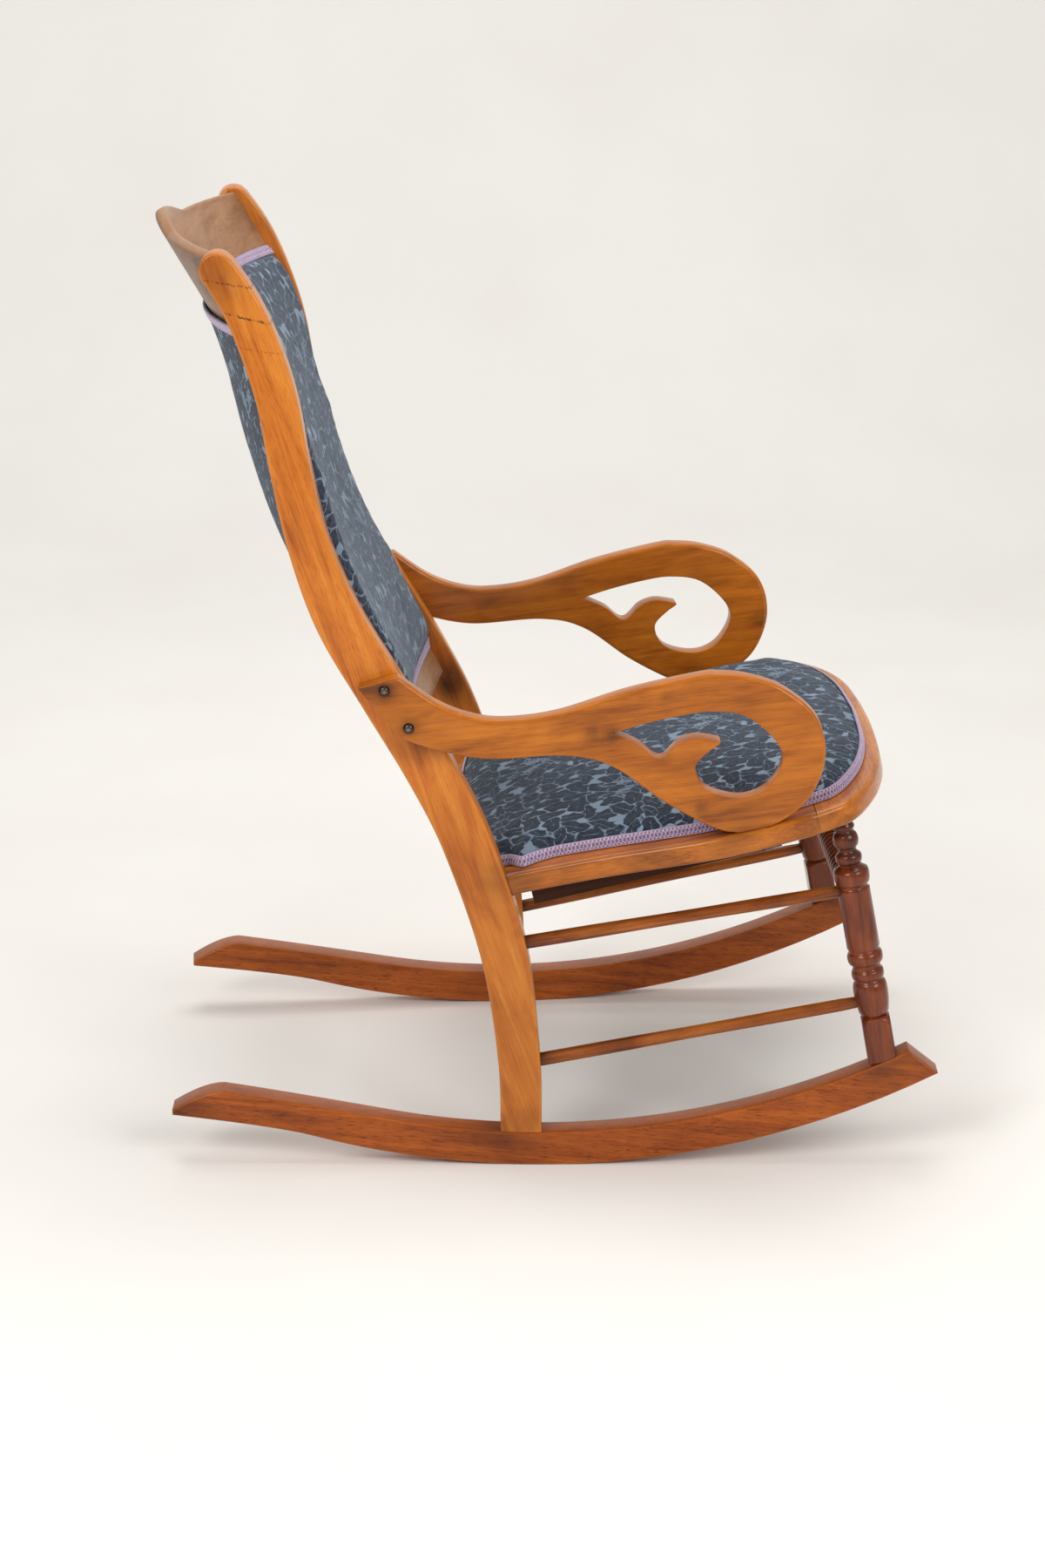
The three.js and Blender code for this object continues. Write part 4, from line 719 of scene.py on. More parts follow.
outer = arm_line(arm_top, 3)
tail = even([outer[-1], [0, arm_low_z + arm_height * 0.904], outer[0]], 6)[1:-1]
arm_outline = np.vstack([outer, tail])
seat_top = seat_height - (arm_outline[:, 0] + arm_tail_y) * seat_rise + 0.5
arris = np.where(arm_outline[:, 1] < seat_top, 0.8, 4.2)
arris[len(outer) - 1:] = 1.2
arm_outline[:, 1] = np.maximum(arm_outline[:, 1], seat_top)
eye = np.vstack([arm_line(eye_rim, 2.5), arm_line(eye_tongue, 2.0)[1:]])
# Close-grained maple-like board under the amber varnish: cloudy figure, no open pores, brown patches
arm_wood = varnished_wood("amber_varnished_maple", "#c6731b", "#aa5d12", "#834208", pores=0.3, roughness=0.3,
                          coat=0.35, blotches=0.7)
board, edges, faces, wear = sawn_board([arm_outline, eye], arm_thickness, [arris, 1.0], quirk=0.45, spacing=6,
                                       steps=6)
for side, sign in both_sides:
    points = on_arm(board) * (sign, 1, 1)
    # Where the foot stands on the rail the dark spot is a painted shadow; the others are dirt round the screws and
    # small dark marks.
    soil = dirt_and_shade_round(points, ((-272 * sign, 168, 540), 26, 0.45), ((-272 * sign, 145, 536), 11, 0.9),
                  ((-270 * sign, 121, 496), 11, 0.9), ((-268 * sign, 128, 478), 22, 0.5),
                  ((-280 * sign, -88, 491), 9, 0.9), ((-280 * sign, -139, 464), 7, 0.8),
                  ((-284 * sign, -225, 384), 24, 0.65), ((-282 * sign, -300, 462), 14, 0.35 if sign > 0 else 0.6),
                  ((-280 * sign, 5, 500), 26, 0.0 if sign > 0 else 0.4), ((-282 * sign, -226, 520), 16, 0.35),
                  ((-283, -179, 410.6), 8, 1.0), ((-283, -258, 414), 4.5, 0.9), ((-283, -142, 529), 6, 0.7),
                  ((-283, -67, 490), 9, 0.6), ((283, -120, 505), 8, 0.7))
    wooden("arm_board_" + side, "honey_wood", "arm_" + side, points, edges, faces, arm_wood, (0, 1, -0.12),
           20 + 3 * sign, soil, wear)

# Screws: two domed heads of blacked steel fix each arm to its post, paler on the crown, rubbed bright there
# and with a painted highlight; another from below holds the arm's foot, and keeps its own solid.


def mottled(material, scale, detail):
    """Soft noise on the piece's own coordinates, scaled by so much to the metre."""
    place = add_node(material, "TexCoord").outputs["Object"]
    return add_node(material, "TexNoise", Vector=place, Scale=scale, Detail=detail).outputs["Fac"]


def finished(material, *nodes):
    """Solids that keep their own shape and only take a material."""
    for node in nodes:
        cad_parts[node].data.materials.clear()
        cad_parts[node].data.materials.append(material)


steel = new_material("blacked_steel_worn_and_lit")
mottle = mottled(steel, 900, 3)
rub_and_glint = reckon(steel, "MULTIPLY", given(steel, "wear"), mottle)
tone = ramp(steel, rub_and_glint, (0, "#2a1f1a"), (0.25, "#5d4e46"), (1, "#b3a69c"))
surfaced(steel, Base_Color=tone, Roughness=ranged(steel, mottle, 0.0, 1.0, 0.34, 0.2), Metallic=0.85)
turn = np.linspace(0, math.pi / 2, 14)
dome = np.column_stack([-4 * np.cos(turn), 5.6 * np.sin(turn) ** 0.8])[1:]
profile = np.vstack([dome, [[0.02, 5.6], [0.06, 2.4], [40, 2.4]]])
for level, from_tail, height_share in (("upper", 28, 0.892), ("lower", 52.5, 0.658)):
    height = arm_low_z + arm_height * height_share
    head, tip = (on_arm(np.array([[-from_tail, height, depth]]))[0]
                 for depth in (arm_thickness + fit, arm_thickness - 1))
    screw, faces, ends = turned_piece(profile, head, head + (tip - head) / np.linalg.norm(tip - head), 36)
    for side, sign in both_sides:
        crown = np.clip(1 - np.linalg.norm((screw - head)[:, 1:], axis=1) / 5.2, 0, 1)
        piece = add_piece("arm_screw_head_%s_%s" % (level, side), screw * (sign, 1, 1), faces, ends, steel, wear=crown)
        fitted(piece, "blacked_steel", "arm_screw_%s_%s" % (level, side))
finished(steel, "arm_foot_screw_left", "arm_foot_screw_right")

# Crest rail: a board bent backwards between the posts, whose top rises in the middle to a lip with hollow
# shoulders. Smooth close-grained wood under a hazy varnish, its colours painted paler and milkier than the
# arms' as a painted pale reflection.
crest_lean = math.radians(30.3)
crest_place = (306.7, 976.1)
crest_bow = 47.4
crest_thickness = 13.5
crest_half = side_half_width - board_thickness - 307 * math.tan(side_splay)


def crest_top(x):
    """The top's height: a parabola across the chair, plus the lip, a low hump with nearly straight flanks."""
    lip = np.interp(np.abs(x) / 80, [0, 0.12, 0.29, 0.54, 0.78, 0.93, 1], [1, 0.965, 0.86, 0.61, 0.28, 0.07, 0])
    return 29 * (1 - (x / crest_half) ** 2) + 16.5 * lip


def closed_strip(sections):
    """Sections (a grid of rows of points, each row a closed ring) joined to a tube, with flat ends."""
    rows, n = sections.shape[:2]
    k = np.arange(n)
    here = np.arange(rows - 1)[:, None] * n
    faces = np.stack([here + k, here + (k + 1) % n, here + (k + 1) % n + n, here + k + n], -1).reshape(-1, 4)
    half = np.arange(n // 2 - 1)
    lid = np.stack([half, half + 1, n - 2 - half, n - 1 - half], 1)
    return sections.reshape(-1, 3), [faces], [lid, lid[:, ::-1] + (rows - 1) * n]


share = np.linspace(-1, 1, 301)[:, None]
x = share * crest_half
quarter = np.linspace(0, math.pi / 2, 7)
bow = crest_bow * (1 - share ** 2)
top = crest_top(x)
front_y = np.r_[np.zeros(9), 4 * (1 - np.cos(quarter))]
front_z = np.r_[np.linspace(0, 0.94, 9), np.ones(7)]
depth = np.r_[front_y, crest_thickness - front_y[::-1]]
lift = np.r_[np.zeros(9), 4 * (np.sin(quarter) - 1), 4 * (np.sin(quarter[::-1]) - 1), np.zeros(9)]
level = np.r_[front_z, front_z[::-1]]
local_y = bow + depth
foot = -96 + 26 * (1 - share ** 2)
local_z = foot + (top - foot) * level + lift
world_y = crest_place[0] + local_y * math.cos(crest_lean) + local_z * math.sin(crest_lean)
world_z = crest_place[1] - local_y * math.sin(crest_lean) + local_z * math.cos(crest_lean)
limit = side_half_width - board_thickness / math.cos(side_splay) - fit - world_y * math.tan(side_splay)
sections = np.stack([share * limit, world_y, world_z], -1)
points, faces, ends = closed_strip(sections)
# The crest's rounded top is painted paler: worn varnish and a painted reflection of the pale room.
wear = np.broadcast_to((np.abs(lift) < 3.9) & (level > 0.99), local_y.shape).astype(float).ravel()
# Birch-like crest board: fine straight grain along its length, brown under a hazy worn varnish, its colours
# painted pale as a painted reflection
crest_wood_painted_pale = varnished_wood("hazy_varnished_birch_painted_pale", "#b58c6b", "#a07453", "#855a3b", pores=0.08, roughness=0.34,
                            coat=0.14, blotches=0.35)
soil = dirt_and_shade_round(points, ((-215, 290, 950), 34, 0.45), ((215, 290, 950), 34, 0.45), ((0, 400, 985), 22, 0.25))
# The crest is painted darker towards its rear face: painted shade.
soil = np.maximum(soil, 0.6 * np.broadcast_to(depth / crest_thickness, local_y.shape).ravel() ** 2)
wooden("crest_board", "honey_wood", "crest_rail", points, faces, ends, crest_wood_painted_pale, (1, 0, 0), 25, soil, wear)

# Lower back rail: a bent board below the back pad, of the same hazy brown wood as the crest, painted pale in
# the same way as a painted reflection.
pad_low = 432
pad_top = 922
rail_foot = 386
rail_top = 456
level_from = 700


def bowed(across, along):
    """The place along the post, and how far behind the posts' line the back passes there. The bow is a
    parabola across, and grows from 27 to 48 mm with the height to the power 1.8. Towards the top the middle
    is drawn up by 21 mm, so that the top edge is level."""
    across, along = np.broadcast_arrays(np.asarray(across, float), np.asarray(along, float))
    along = along + 21 * (1 - across ** 2) * np.clip((along - level_from) / (pad_top - level_from), 0, 1) ** 2
    climb = np.clip((along - rail_foot) / (pad_top - rail_foot), 0, 1)
    return along, (27 + 21 * climb ** 1.8) * (1 - across ** 2)


def in_back(across, along, ahead):
    """A place on the bowed back: across as a share of the width, along the post, and ahead of the posts' line."""
    across, along, ahead = np.broadcast_arrays(*(np.asarray(part, float) for part in (across, along, ahead)))
    along, bow = bowed(across, along)
    point, _, forward = along_post(along)
    spot = point + forward * (ahead - bow)[..., None]
    half = side_half_width - board_thickness / math.cos(side_splay) - fit - spot[..., 0] * math.tan(side_splay)
    return np.stack([across * half, spot[..., 0], spot[..., 1]], -1)


rounding = 3
ring_s = np.r_[rail_foot, np.linspace(rail_foot + 0.5, rail_top - rounding - 0.5, 9),
               rail_top - rounding + rounding * np.sin(quarter)]
ring_n = np.r_[7.6, np.full(9, 8.0), 8 - rounding * (1 - np.cos(quarter))]
sections = np.stack([in_back(a, np.r_[ring_s, ring_s[::-1]], np.r_[ring_n, -5 - ring_n[::-1]])
                     for a in np.linspace(-1, 1, 61)])
points, faces, ends = closed_strip(sections)
soil = dirt_and_shade_round(points, ((-222, 130, 430), 36, 0.6), ((222, 130, 430), 36, 0.8))
wooden("lower_back_board", "honey_wood", "lower_back_rail", points, faces, ends, crest_wood_painted_pale, (1, 0, 0), 27, soil)

# Seat pad: stuffing under a blue-grey figured damask, whose dark leaves stand against a paler ground. The
# cloth is stretched over the stuffing and tacked to the boards all round, notched past the posts.
pad_foot = 3.5
pad_step = 1.6
coarse = 3
pad_rear_half = 219.9
pad_front_y = -387.5


def patch(left, front, right, rear, steps):
    """A grid of points between four lines: both ruled surfaces added, less the surface ruled on the corners."""
    (across, along), u, v = steps, *(np.linspace(0, 1, n)[:, None] for n in steps)
    spread = lambda line, n: even(line, np.linalg.norm(np.diff(line, axis=0), axis=1).sum() / (n - 1))
    front, rear = (spread(line, across)[:, None] for line in (front, rear))
    left, right = (spread(line, along)[None] for line in (left, right))
    u, v = u[:, None], v[None]
    corners = (1 - u) * (1 - v) * front[0] + u * (1 - v) * front[-1] + (1 - u) * v * rear[0] + u * v * rear[-1]
    return (1 - v) * front + v * rear + (1 - u) * left + u * right - corners


def finer(grid, times):
    """The grid with more points along both ways, on the splines through the ones it has."""
    n, m, size = grid.shape
    rows = spline(grid.reshape(n, m * size), times).reshape(-1, m, size)
    return spline(rows.transpose(1, 0, 2).reshape(m, -1), times).reshape(-1, len(rows), size).transpose(1, 0, 2)


def grid_faces(n, m):
    """The faces between the points of a grid, each by its four places in it."""
    k = np.arange(n * m).reshape(n, m)
    return np.stack([k[:-1, :-1], k[1:, :-1], k[1:, 1:], k[:-1, 1:]], -1).reshape(-1, 4)


def grid_rim(n, m):
    """The places round a grid's rim, each once."""
    k = np.arange(n * m).reshape(n, m)
    return np.concatenate([k[:-1, 0], k[-1, :-1], k[:0:-1, -1], k[0, :0:-1]])


def swelling(grid, most):
    """How far the cloth over a pad moves as the stuffing presses on it. Blender's cloth is held round its
    rim, its underside is held too, and a pressure of 4 acts for 20 frames without weight; the movement is
    scaled so that it goes no further than the most that is named."""
    pressure, frames = 4, 20
    n, m = grid.shape[:2]
    top, rim = grid.reshape(-1, 3), grid_rim(n, m)
    inside = np.setdiff1d(np.arange(n * m), rim)
    lower = np.arange(n * m)
    lower[inside] = n * m + np.arange(len(inside))
    base = patch(grid[0], grid[:, 0], grid[-1], grid[:, -1], (n, m)).reshape(-1, 3)
    mesh = bpy.data.meshes.new("swelling")
    mesh.from_pydata((np.vstack([top, base[inside] - (0, 0, 6)]) / 1000).tolist(), [],
                     grid_faces(n, m).tolist() + lower[grid_faces(n, m)[:, ::-1]].tolist())
    shape = bpy.data.objects.new("swelling", mesh)
    bpy.context.scene.collection.objects.link(shape)
    held = shape.vertex_groups.new(name="held")
    held.add(rim.tolist() + lower[inside].tolist(), 1.0, "REPLACE")
    cloth = shape.modifiers.new("cloth", "CLOTH")
    cloth.settings.vertex_group_mass = "held"
    cloth.settings.use_pressure = True
    cloth.settings.uniform_pressure_force = pressure
    cloth.settings.shrink_min = -0.02
    cloth.settings.effector_weights.gravity = 0
    cloth.point_cache.frame_end = frames
    for number in range(1, frames + 1):
        bpy.context.scene.frame_set(number)
    after = shape.evaluated_get(bpy.context.evaluated_depsgraph_get()).to_mesh()
    places = np.empty(len(after.vertices) * 3, np.float32)
    after.vertices.foreach_get("co", places)
    moved = places.reshape(-1, 3)[:n * m].reshape(n, m, 3) * 1000 - grid
    bpy.context.scene.frame_set(1)
    bpy.data.objects.remove(shape)
    return moved * min(1, most / max(np.linalg.norm(moved, axis=-1).max(), 1e-6))


def pad_shell(top, plane, underside, spacing=24):
    """The top grid closed by an underside, filled in between the rim's places in the pad's own plane."""
    n, m = top.shape[:2]
    rim = grid_rim(n, m)
    added, triangles = filled([plane.reshape(-1, 2)[rim]], spacing)
    index = np.concatenate([rim, n * m + np.arange(len(added))])
    return np.vstack([top.reshape(-1, 3), underside(added)]), [grid_faces(n, m)], [index[triangles]]


def damask_figure(across, along, seed=5):
    """How far inside a dark leaf each place of the cloth lies, in mm, less than 0 on the pale ground. A leaf is
    an ellipse (place, half length, half width, turn) whose measure is waved by five lobes, and a place belongs
    to the leaf in whose measure it is nearest; pale lines lie where two measures agree, and along each vein.
    Flowers of petals in two rings stand over leaves in a row, between curving stems with leaves. Leaves of
    random places and sizes, whose turn follows two waves, fill the rest. All is mirrored and repeated with a
    half drop."""
    wide, high = 148.0, 196.0
    leaves = [(0, 0, 7, 7, 0)]
    for ring, length, width, petals, offset in ((17, 10, 7.4, 6, 0), (36, 14, 10.5, 10, 0.5)):
        leaves += [(ring * math.sin(a), ring * math.cos(a), length, width, math.pi / 2 - a)
                   for a in (np.arange(petals) + offset) * math.pi / (petals / 2)]
    leaves += [(0, y, 16, 8.5, math.pi / 2) for y in (63, 94, 126)]
    for k in range(10):
        y = high * (k + 0.5) / 10
        turn, side = 2 * math.pi * y / high, (-1) ** k
        leaves.append((37 - 30 * math.cos(turn) + 7 * side, y, 15, 6.5,
                       math.pi / 2 - 0.9 * math.sin(turn) - 0.75 * side))
    chance = np.random.default_rng(seed)
    tries = 900
    for x, y, size in zip(chance.uniform(2, wide / 2, tries), chance.uniform(0, high, tries),
                          chance.uniform(14, 21, tries)):
        near = [math.hypot(x - a, (y - b + high / 2) % high - high / 2) - 0.43 * (c + d) for a, b, c, d, _ in leaves]
        if min(near) > 7.5:
            leaves.append((x, y, size, size * 0.52, 1.2 * math.sin(x / 12) + 0.9 * math.cos(y / 15)))
    base = np.array(leaves)
    mirror = base * (-1, 1, 1, 1, -1)
    every = np.vstack([base, mirror[base[:, 0] > 0.1], mirror + (wide, high / 2, 0, 0, 0)])
    every = np.vstack([every + (0, k * high, 0, 0, 0) for k in (-2, -1, 0, 1)])
    margin = 26
    near = (every[:, 0] > -margin) & (every[:, 0] < wide / 2 + margin)
    every = every[near & (np.abs(every[:, 1] - high / 2) < high / 2 + margin)]
    shape = across.shape
    across, along = across.ravel(), along.ravel()
    across = across + 2.4 * np.sin(along / 17) + 1.3 * np.sin(along / 7.3 + across / 11)
    along = along + 2.4 * np.sin(across / 19 + 1) + 1.2 * np.sin(across / 6.1)
    column = np.round(across / wide)
    x = np.abs(across - column * wide)
    y = (along + (column % 2) * high / 2) % high
    result = np.empty(len(x))
    turn = np.stack([np.cos(every[:, 4]), np.sin(every[:, 4])])
    at_once = 20000
    for start in range(0, len(x), at_once):
        here = slice(start, start + at_once)
        dx, dy = x[here, None] - every[:, 0], y[here, None] - every[:, 1]
        a, b = dx * turn[0] + dy * turn[1], dy * turn[0] - dx * turn[1]
        lobes = 1 + 0.17 * np.cos(5 * np.arctan2(b, a))
        reach = np.sqrt((a / every[:, 2]) ** 2 + (b / every[:, 3]) ** 2) * lobes
        order = np.argpartition(reach, 1, axis=1)[:, :2]
        first, second = np.take_along_axis(reach, order, 1).T
        own = np.where(first > second, order[:, 1], order[:, 0])
        first, second = np.minimum(first, second), np.maximum(first, second)
        length, size = every[own, 2:4].T
        a, b = a[np.arange(len(own)), own], b[np.arange(len(own)), own]
        vein = (np.abs(b - 0.12 * a ** 2 / size) - 0.25) * 0.9
        vein = np.where((np.abs(a) < 0.62 * length) & (size > 6), vein, 9)
        inside = np.minimum((1.12 - first) * size, (second - first) * size * 0.5 - 0.45)
        result[here] = np.minimum(inside, vein)
    return result.reshape(shape)


def crossing(material, place, *pitches):
    """Warp and weft: a sine along each of two axes of the place, one wave to its pitch, and their product."""
    axes = add_node(material, "SeparateXYZ", Vector=place)
    warp, weft = (reckon(material, "SINE", reckon(material, "MULTIPLY", axes.outputs[k], 2 * math.pi / pitch), 0.0)
                  for k, pitch in enumerate(pitches))
    return reckon(material, "MULTIPLY", warp, weft)


def damask_cloth(name, leaf, leaf_pale, ground, ground_pale, sheen):
    """Jacquard cloth on a coordinate in mm: matt dark leaves on a paler, silkier ground. Yarn flecks 1.4 mm by
    7 mm follow the warp, the ground's threads stand 1.5 and 0.9 mm apart, and faded patches are 120 mm wide."""
    material = new_material(name)
    place = given(material, "weave", "Vector")

    def noise(across, along, detail=2.0, offset=0.0):
        scaled = add_node(material, "Mapping", Vector=place, Location=(offset, offset, 0),
                          Scale=(1 / across, 1 / along, 1))
        return add_node(material, "TexNoise", Vector=scaled.outputs[0], Scale=1.0, Detail=detail).outputs["Fac"]

    flecks, fuzz, faded = noise(1.4, 7.0), noise(1.1, 1.1, 1.0, 40.0), noise(120, 120, 3.0, 7.0)
    inside = ranged(material, reckon(material, "MULTIPLY_ADD", fuzz, 1.1, given(material, "figure")), 0.2, 0.95)
    colour = blended(material, inside, ramp(material, faded, (0.3, ground), (0.7, ground_pale)),
                     ramp(material, flecks, (0.36, leaf), (0.72, leaf_pale)))
    colour = blended(material, given(material, "soil"), colour, linear("#14161c"))
    raised = reckon(material, "MULTIPLY_ADD", flecks, 1.6, crossing(material, place, 1.5, 0.9))
    raised = reckon(material, "MULTIPLY_ADD", inside, 0.8, raised)
    return surfaced(material, Base_Color=colour, Roughness=ranged(material, inside, 0.0, 1.0, 0.62, 0.9),
                    Normal=bumped(material, raised, 0.5), Sheen_Weight=sheen, Sheen_Roughness=0.3,
                    Sheen_Tint=linear("#b9c6d4"), Specular_IOR_Level=0.3)


def covered(name, points, faces, flat, cloth, soil, laid, start):
    """A pad in its damask: laid gives each place of its top grid on the flat cloth, whose figure begins at the
    start. The underside, which nobody sees, stays plain."""
    unseen = len(points) - laid.shape[0] * laid.shape[1]
    weave = np.vstack([np.dstack([laid, 0 * laid[..., :1]]).reshape(-1, 3), np.zeros((unseen, 3))])
    figure = np.r_[damask_figure(laid[..., 0], laid[..., 1] + start).ravel(), np.zeros(unseen)]
    return add_piece(name, points, faces, flat, cloth, smooth_angle=80, weave=weave, figure=figure, soil=soil)


def pad_rise(distance):
    """Height of the stuffing at a distance in from the pad's edge: a quick round rise to a nearly flat crown."""
    return 30 * (1 - np.exp(-(np.maximum(distance, 0) / 24) ** 0.64))


pad_places = np.vstack([seat_side[1:-1], seat_front[1:-1]])
pad_places = np.column_stack([27 - seat_half_width * pad_places[:, 0],
                              seat_rear_y + (pad_front_y - seat_rear_y) * pad_places[:, 1]])
half_line = spline(np.vstack([[[-238.5, 2]], pad_places, [[0, pad_front_y]]]), 40)
half_line = even(np.vstack([[[-pad_rear_half, 42], [-pad_rear_half - 1.6, 15]], half_line]), 1.0)
corner = int(np.argmax(half_line[:, 1] < -334))
sides = (half_line[:corner + 1][::-1], np.vstack([half_line[corner:], (half_line[corner:] * (-1, 1))[-2::-1]]),
         (half_line[:corner + 1] * (-1, 1))[::-1],
         bezier((-pad_rear_half, 42), (0, 82), (pad_rear_half, 42), 60))
grid_size = [int(round(length / pad_step / coarse)) + 1 for length in (540, 380)]
plan = patch(*sides, grid_size)
pad_line = finer(plan, 4).reshape(-1, 2)[grid_rim(*(4 * n - 3 for n in grid_size))]
gaps = plan[:, :, None] - pad_line
apart = np.sqrt((gaps ** 2).sum(-1))
distance = apart.min(-1)
nearest = np.take_along_axis(gaps, apart.argmin(-1)[..., None, None], 2)[..., 0, :]
outwards = -nearest / np.maximum(distance, 1e-6)[..., None]
moved = finer(swelling(np.dstack([plan, pad_foot + pad_rise(distance)]), 6), coarse)
fine_plan, fine_distance = finer(plan, coarse), np.maximum(finer(distance[..., None], coarse)[..., 0], 0)
fine_distance.ravel()[grid_rim(*fine_distance.shape)] = 0
# The cloth is longer than its plan by what the rise takes up, from the crown out to each place
depths = np.linspace(0, 200, 2001)
slopes = np.gradient(pad_rise(depths), depths)
hidden = np.cumsum((np.sqrt(1 + np.minimum(slopes, 6) ** 2) - 1)[::-1])[::-1] * (depths[1] - depths[0])
laid = fine_plan + finer(outwards, coarse) * np.interp(fine_distance, depths, hidden)[..., None]
tacks = 0.5 * np.exp(-fine_distance / 16) * np.sin(fine_plan[..., 0] / 3.6) * np.sin(fine_plan[..., 1] / 3.6)
top = np.dstack([fine_plan, pad_foot + pad_rise(fine_distance) + tacks * (fine_distance > 0)]) + moved
points, faces, flat = pad_shell(top, fine_plan, lambda added: np.column_stack(
    [added, np.full(len(added), pad_foot)]))
# Blue-grey jacquard, faded in patches, and darker towards the back and in its rear corners
seat_cloth = damask_cloth("seat_damask", "#181f2e", "#3d4857", "#6b8097", "#8ba0b4", 0.4)
placed = in_seat(points)
soil = dirt_and_shade_round(placed, ((0, 80, 330), 90, 0.35), ((-225, 20, 330), 60, 0.4), ((225, 20, 330), 60, 0.4))
piece = covered("seat_pad_damask", placed, faces, flat, seat_cloth, soil, laid, 30)
fitted(piece, "damask", "seat_pad")

# Gimp round the seat: a flat braid 12 mm wide of two cords that cross and cross again over a ground weave,
# glued and pinned over the tacks. Lilac wool, with a painted highlight on its ridges and painted shade in
# its hollows.
braid_width = 12
braid_step = 0.9
braid_lanes = 17
braid_pitch = 8.5


def braid(lanes, lifts, closed=True):
    """A braid on a ruled strip: each row of lanes goes across it, and lifts point away from what it lies on.
    The height is that of two round cords, 2.7 mm thick, on sine paths of 8.5 mm pitch, over a thin ground."""
    rows, n = lanes.shape[:2]
    run = np.r_[0, np.cumsum(np.linalg.norm(np.diff(lanes[:, n // 2], axis=0), axis=1))][:, None]
    whole = run[-1] + np.linalg.norm(lanes[-1, n // 2] - lanes[0, n // 2]) * closed
    across = np.linspace(-braid_width / 2, braid_width / 2, n)[None]
    turn = 2 * math.pi * run * round(float(whole[0]) / braid_pitch) / whole
    cords = [(1.35 ** 2 - (across - side * 3.6 * np.sin(turn)) ** 2, side * np.cos(turn)) for side in (1, -1)]
    height = np.max([np.sqrt(np.clip(part, 0, None)) * (0.9 + 0.25 * over) for part, over in cords], 0)
    edge = np.sqrt(np.clip(0.8 ** 2 - (np.abs(across) - 5.2) ** 2, 0, None)) * (1 + 0.2 * np.sin(turn * 3))
    ridge = np.maximum(height, edge)
    thick = 0.9 + ridge
    thick[:, [0, -1]] = 0.35
    ring = np.concatenate([lanes + lifts * thick[..., None], lanes[:, ::-1]], 1)
    points, faces, ends = closed_strip(ring)
    if closed:
        k = np.arange(2 * n)
        last = (rows - 1) * 2 * n
        faces, ends = faces + [np.stack([last + k, last + (k + 1) % (2 * n), (k + 1) % (2 * n), k], 1)], []
    return points, faces, ends, np.concatenate([ridge, 0 * ridge], 1).ravel() / 1.4


def yarn(name, dark, mid, pale):
    """Twisted yarn: painted shade in the hollows and a painted highlight on the ridges that the piece gives, with
    flecks 0.7 mm wide.
    """
    material = new_material(name)
    flecks = mottled(material, 1400, 2)
    shade = reckon(material, "MULTIPLY_ADD", flecks, 1.9, given(material, "wear"))
    shade = reckon(material, "MULTIPLY_ADD", shade, 0.62, -0.41)
    return surfaced(material, Base_Color=ramp(material, shade, (0.05, dark), (0.4, mid), (0.9, pale)),
                    Roughness=0.9, Normal=bumped(material, flecks, 0.6, 0.0003), Sheen_Weight=0.3,
                    Specular_IOR_Level=0.25)


gimp_yarn = yarn("lilac_wool_gimp", "#54465f", "#a08aab", "#dccde0")
line = even(np.vstack([pad_line, pad_line[:1]]), braid_step)[:-1]
ahead = np.roll(line, -1, 0) - np.roll(line, 1, 0)
outward = np.stack([ahead[:, 1], -ahead[:, 0]], 1) / np.linalg.norm(ahead, axis=1)[:, None]
if (outward * (line - line.mean(0))).sum() < 0:
    outward = -outward
climb = np.linspace(0, 1, braid_lanes)
leaning = np.interp(climb, [0, 0.4, 0.75, 1], [0.3, 0, -1.1, -2.5])
rising = np.broadcast_to(0.35 + 11.2 * climb, (len(line), braid_lanes))
lanes = np.dstack([line[:, None] + outward[:, None] * leaning[:, None], rising])
steep = np.interp(climb, [0, 0.4, 1], [0, 0.1, 0.45])
lifts = np.dstack([outward[:, None] * np.sqrt(1 - steep ** 2)[:, None],
                   np.broadcast_to(steep, (len(line), braid_lanes))])
points, faces, ends, ridge = braid(lanes, lifts)
piece = add_piece("seat_gimp_braid", in_seat(points), faces, ends, gimp_yarn, smooth_angle=80, wear=ridge)
fitted(piece, "gimp", "seat_gimp")

# Back pad: the same cloth over stuffing on webbing, tacked to the crest and the lower rail and pulled round to
# the posts. It swells most at the sitter's shoulders and thins towards the crest.
back_half = 213.0
edge_scale = 20
back_edge = np.array([[pad_low, 11.2], [433, 14.5], [437, 19], [443, 23], [452, 25.5], [480, 27.5], [520, 30.5],
                      [545, 34], [600, 35.5], [700, 35.5], [742, 34.5], [772, 30], [802, 27.4], [842, 26.5], [885, 25],
                      [902, 22], [912, 16.5], [918, 11], [pad_top, 6.6]])


def crest_ahead(across, along):
    """How far ahead of the posts' line the crest's front face passes: the distance along the step ahead to
    the face's plane, in which it lies its own bow behind the crest's place."""
    across = np.asarray(across, float)
    along, bow = bowed(across, along)
    point, _, forward = along_post(along)
    facing = np.array([math.cos(crest_lean), -math.sin(crest_lean)])
    return bow + (crest_bow * (1 - across ** 2) - (point - crest_place) @ facing) / (forward @ facing)


def pad_rear(across, along):
    """How far ahead of the posts' line the pad's rear lies: level, and on the crest it follows the board."""
    return np.minimum(11.2, crest_ahead(across, along) + 0.4)


def back_top(section, rows):
    """The pad's front for places across (in mm, with their share of the edge's height, out of 20) and rows
    along (in mm, with the edge's height there): that height over the rear, plus a crown of 9 mm."""
    across, raised = (section / (back_half, edge_scale)).T
    along, edge = rows.T
    across, raised, along, edge = across[:, None], raised[:, None], along[None], edge[None]
    middle = 2 * (along - pad_low) / (pad_top - pad_low) - 1
    crown = 9 * (1 - np.abs(middle) ** 3) * (1 - across ** 2)
    rear = pad_rear(across, along)
    return across + 0 * along, along + 0 * across, rear + (np.maximum(edge, rear) - rear + crown) * raised


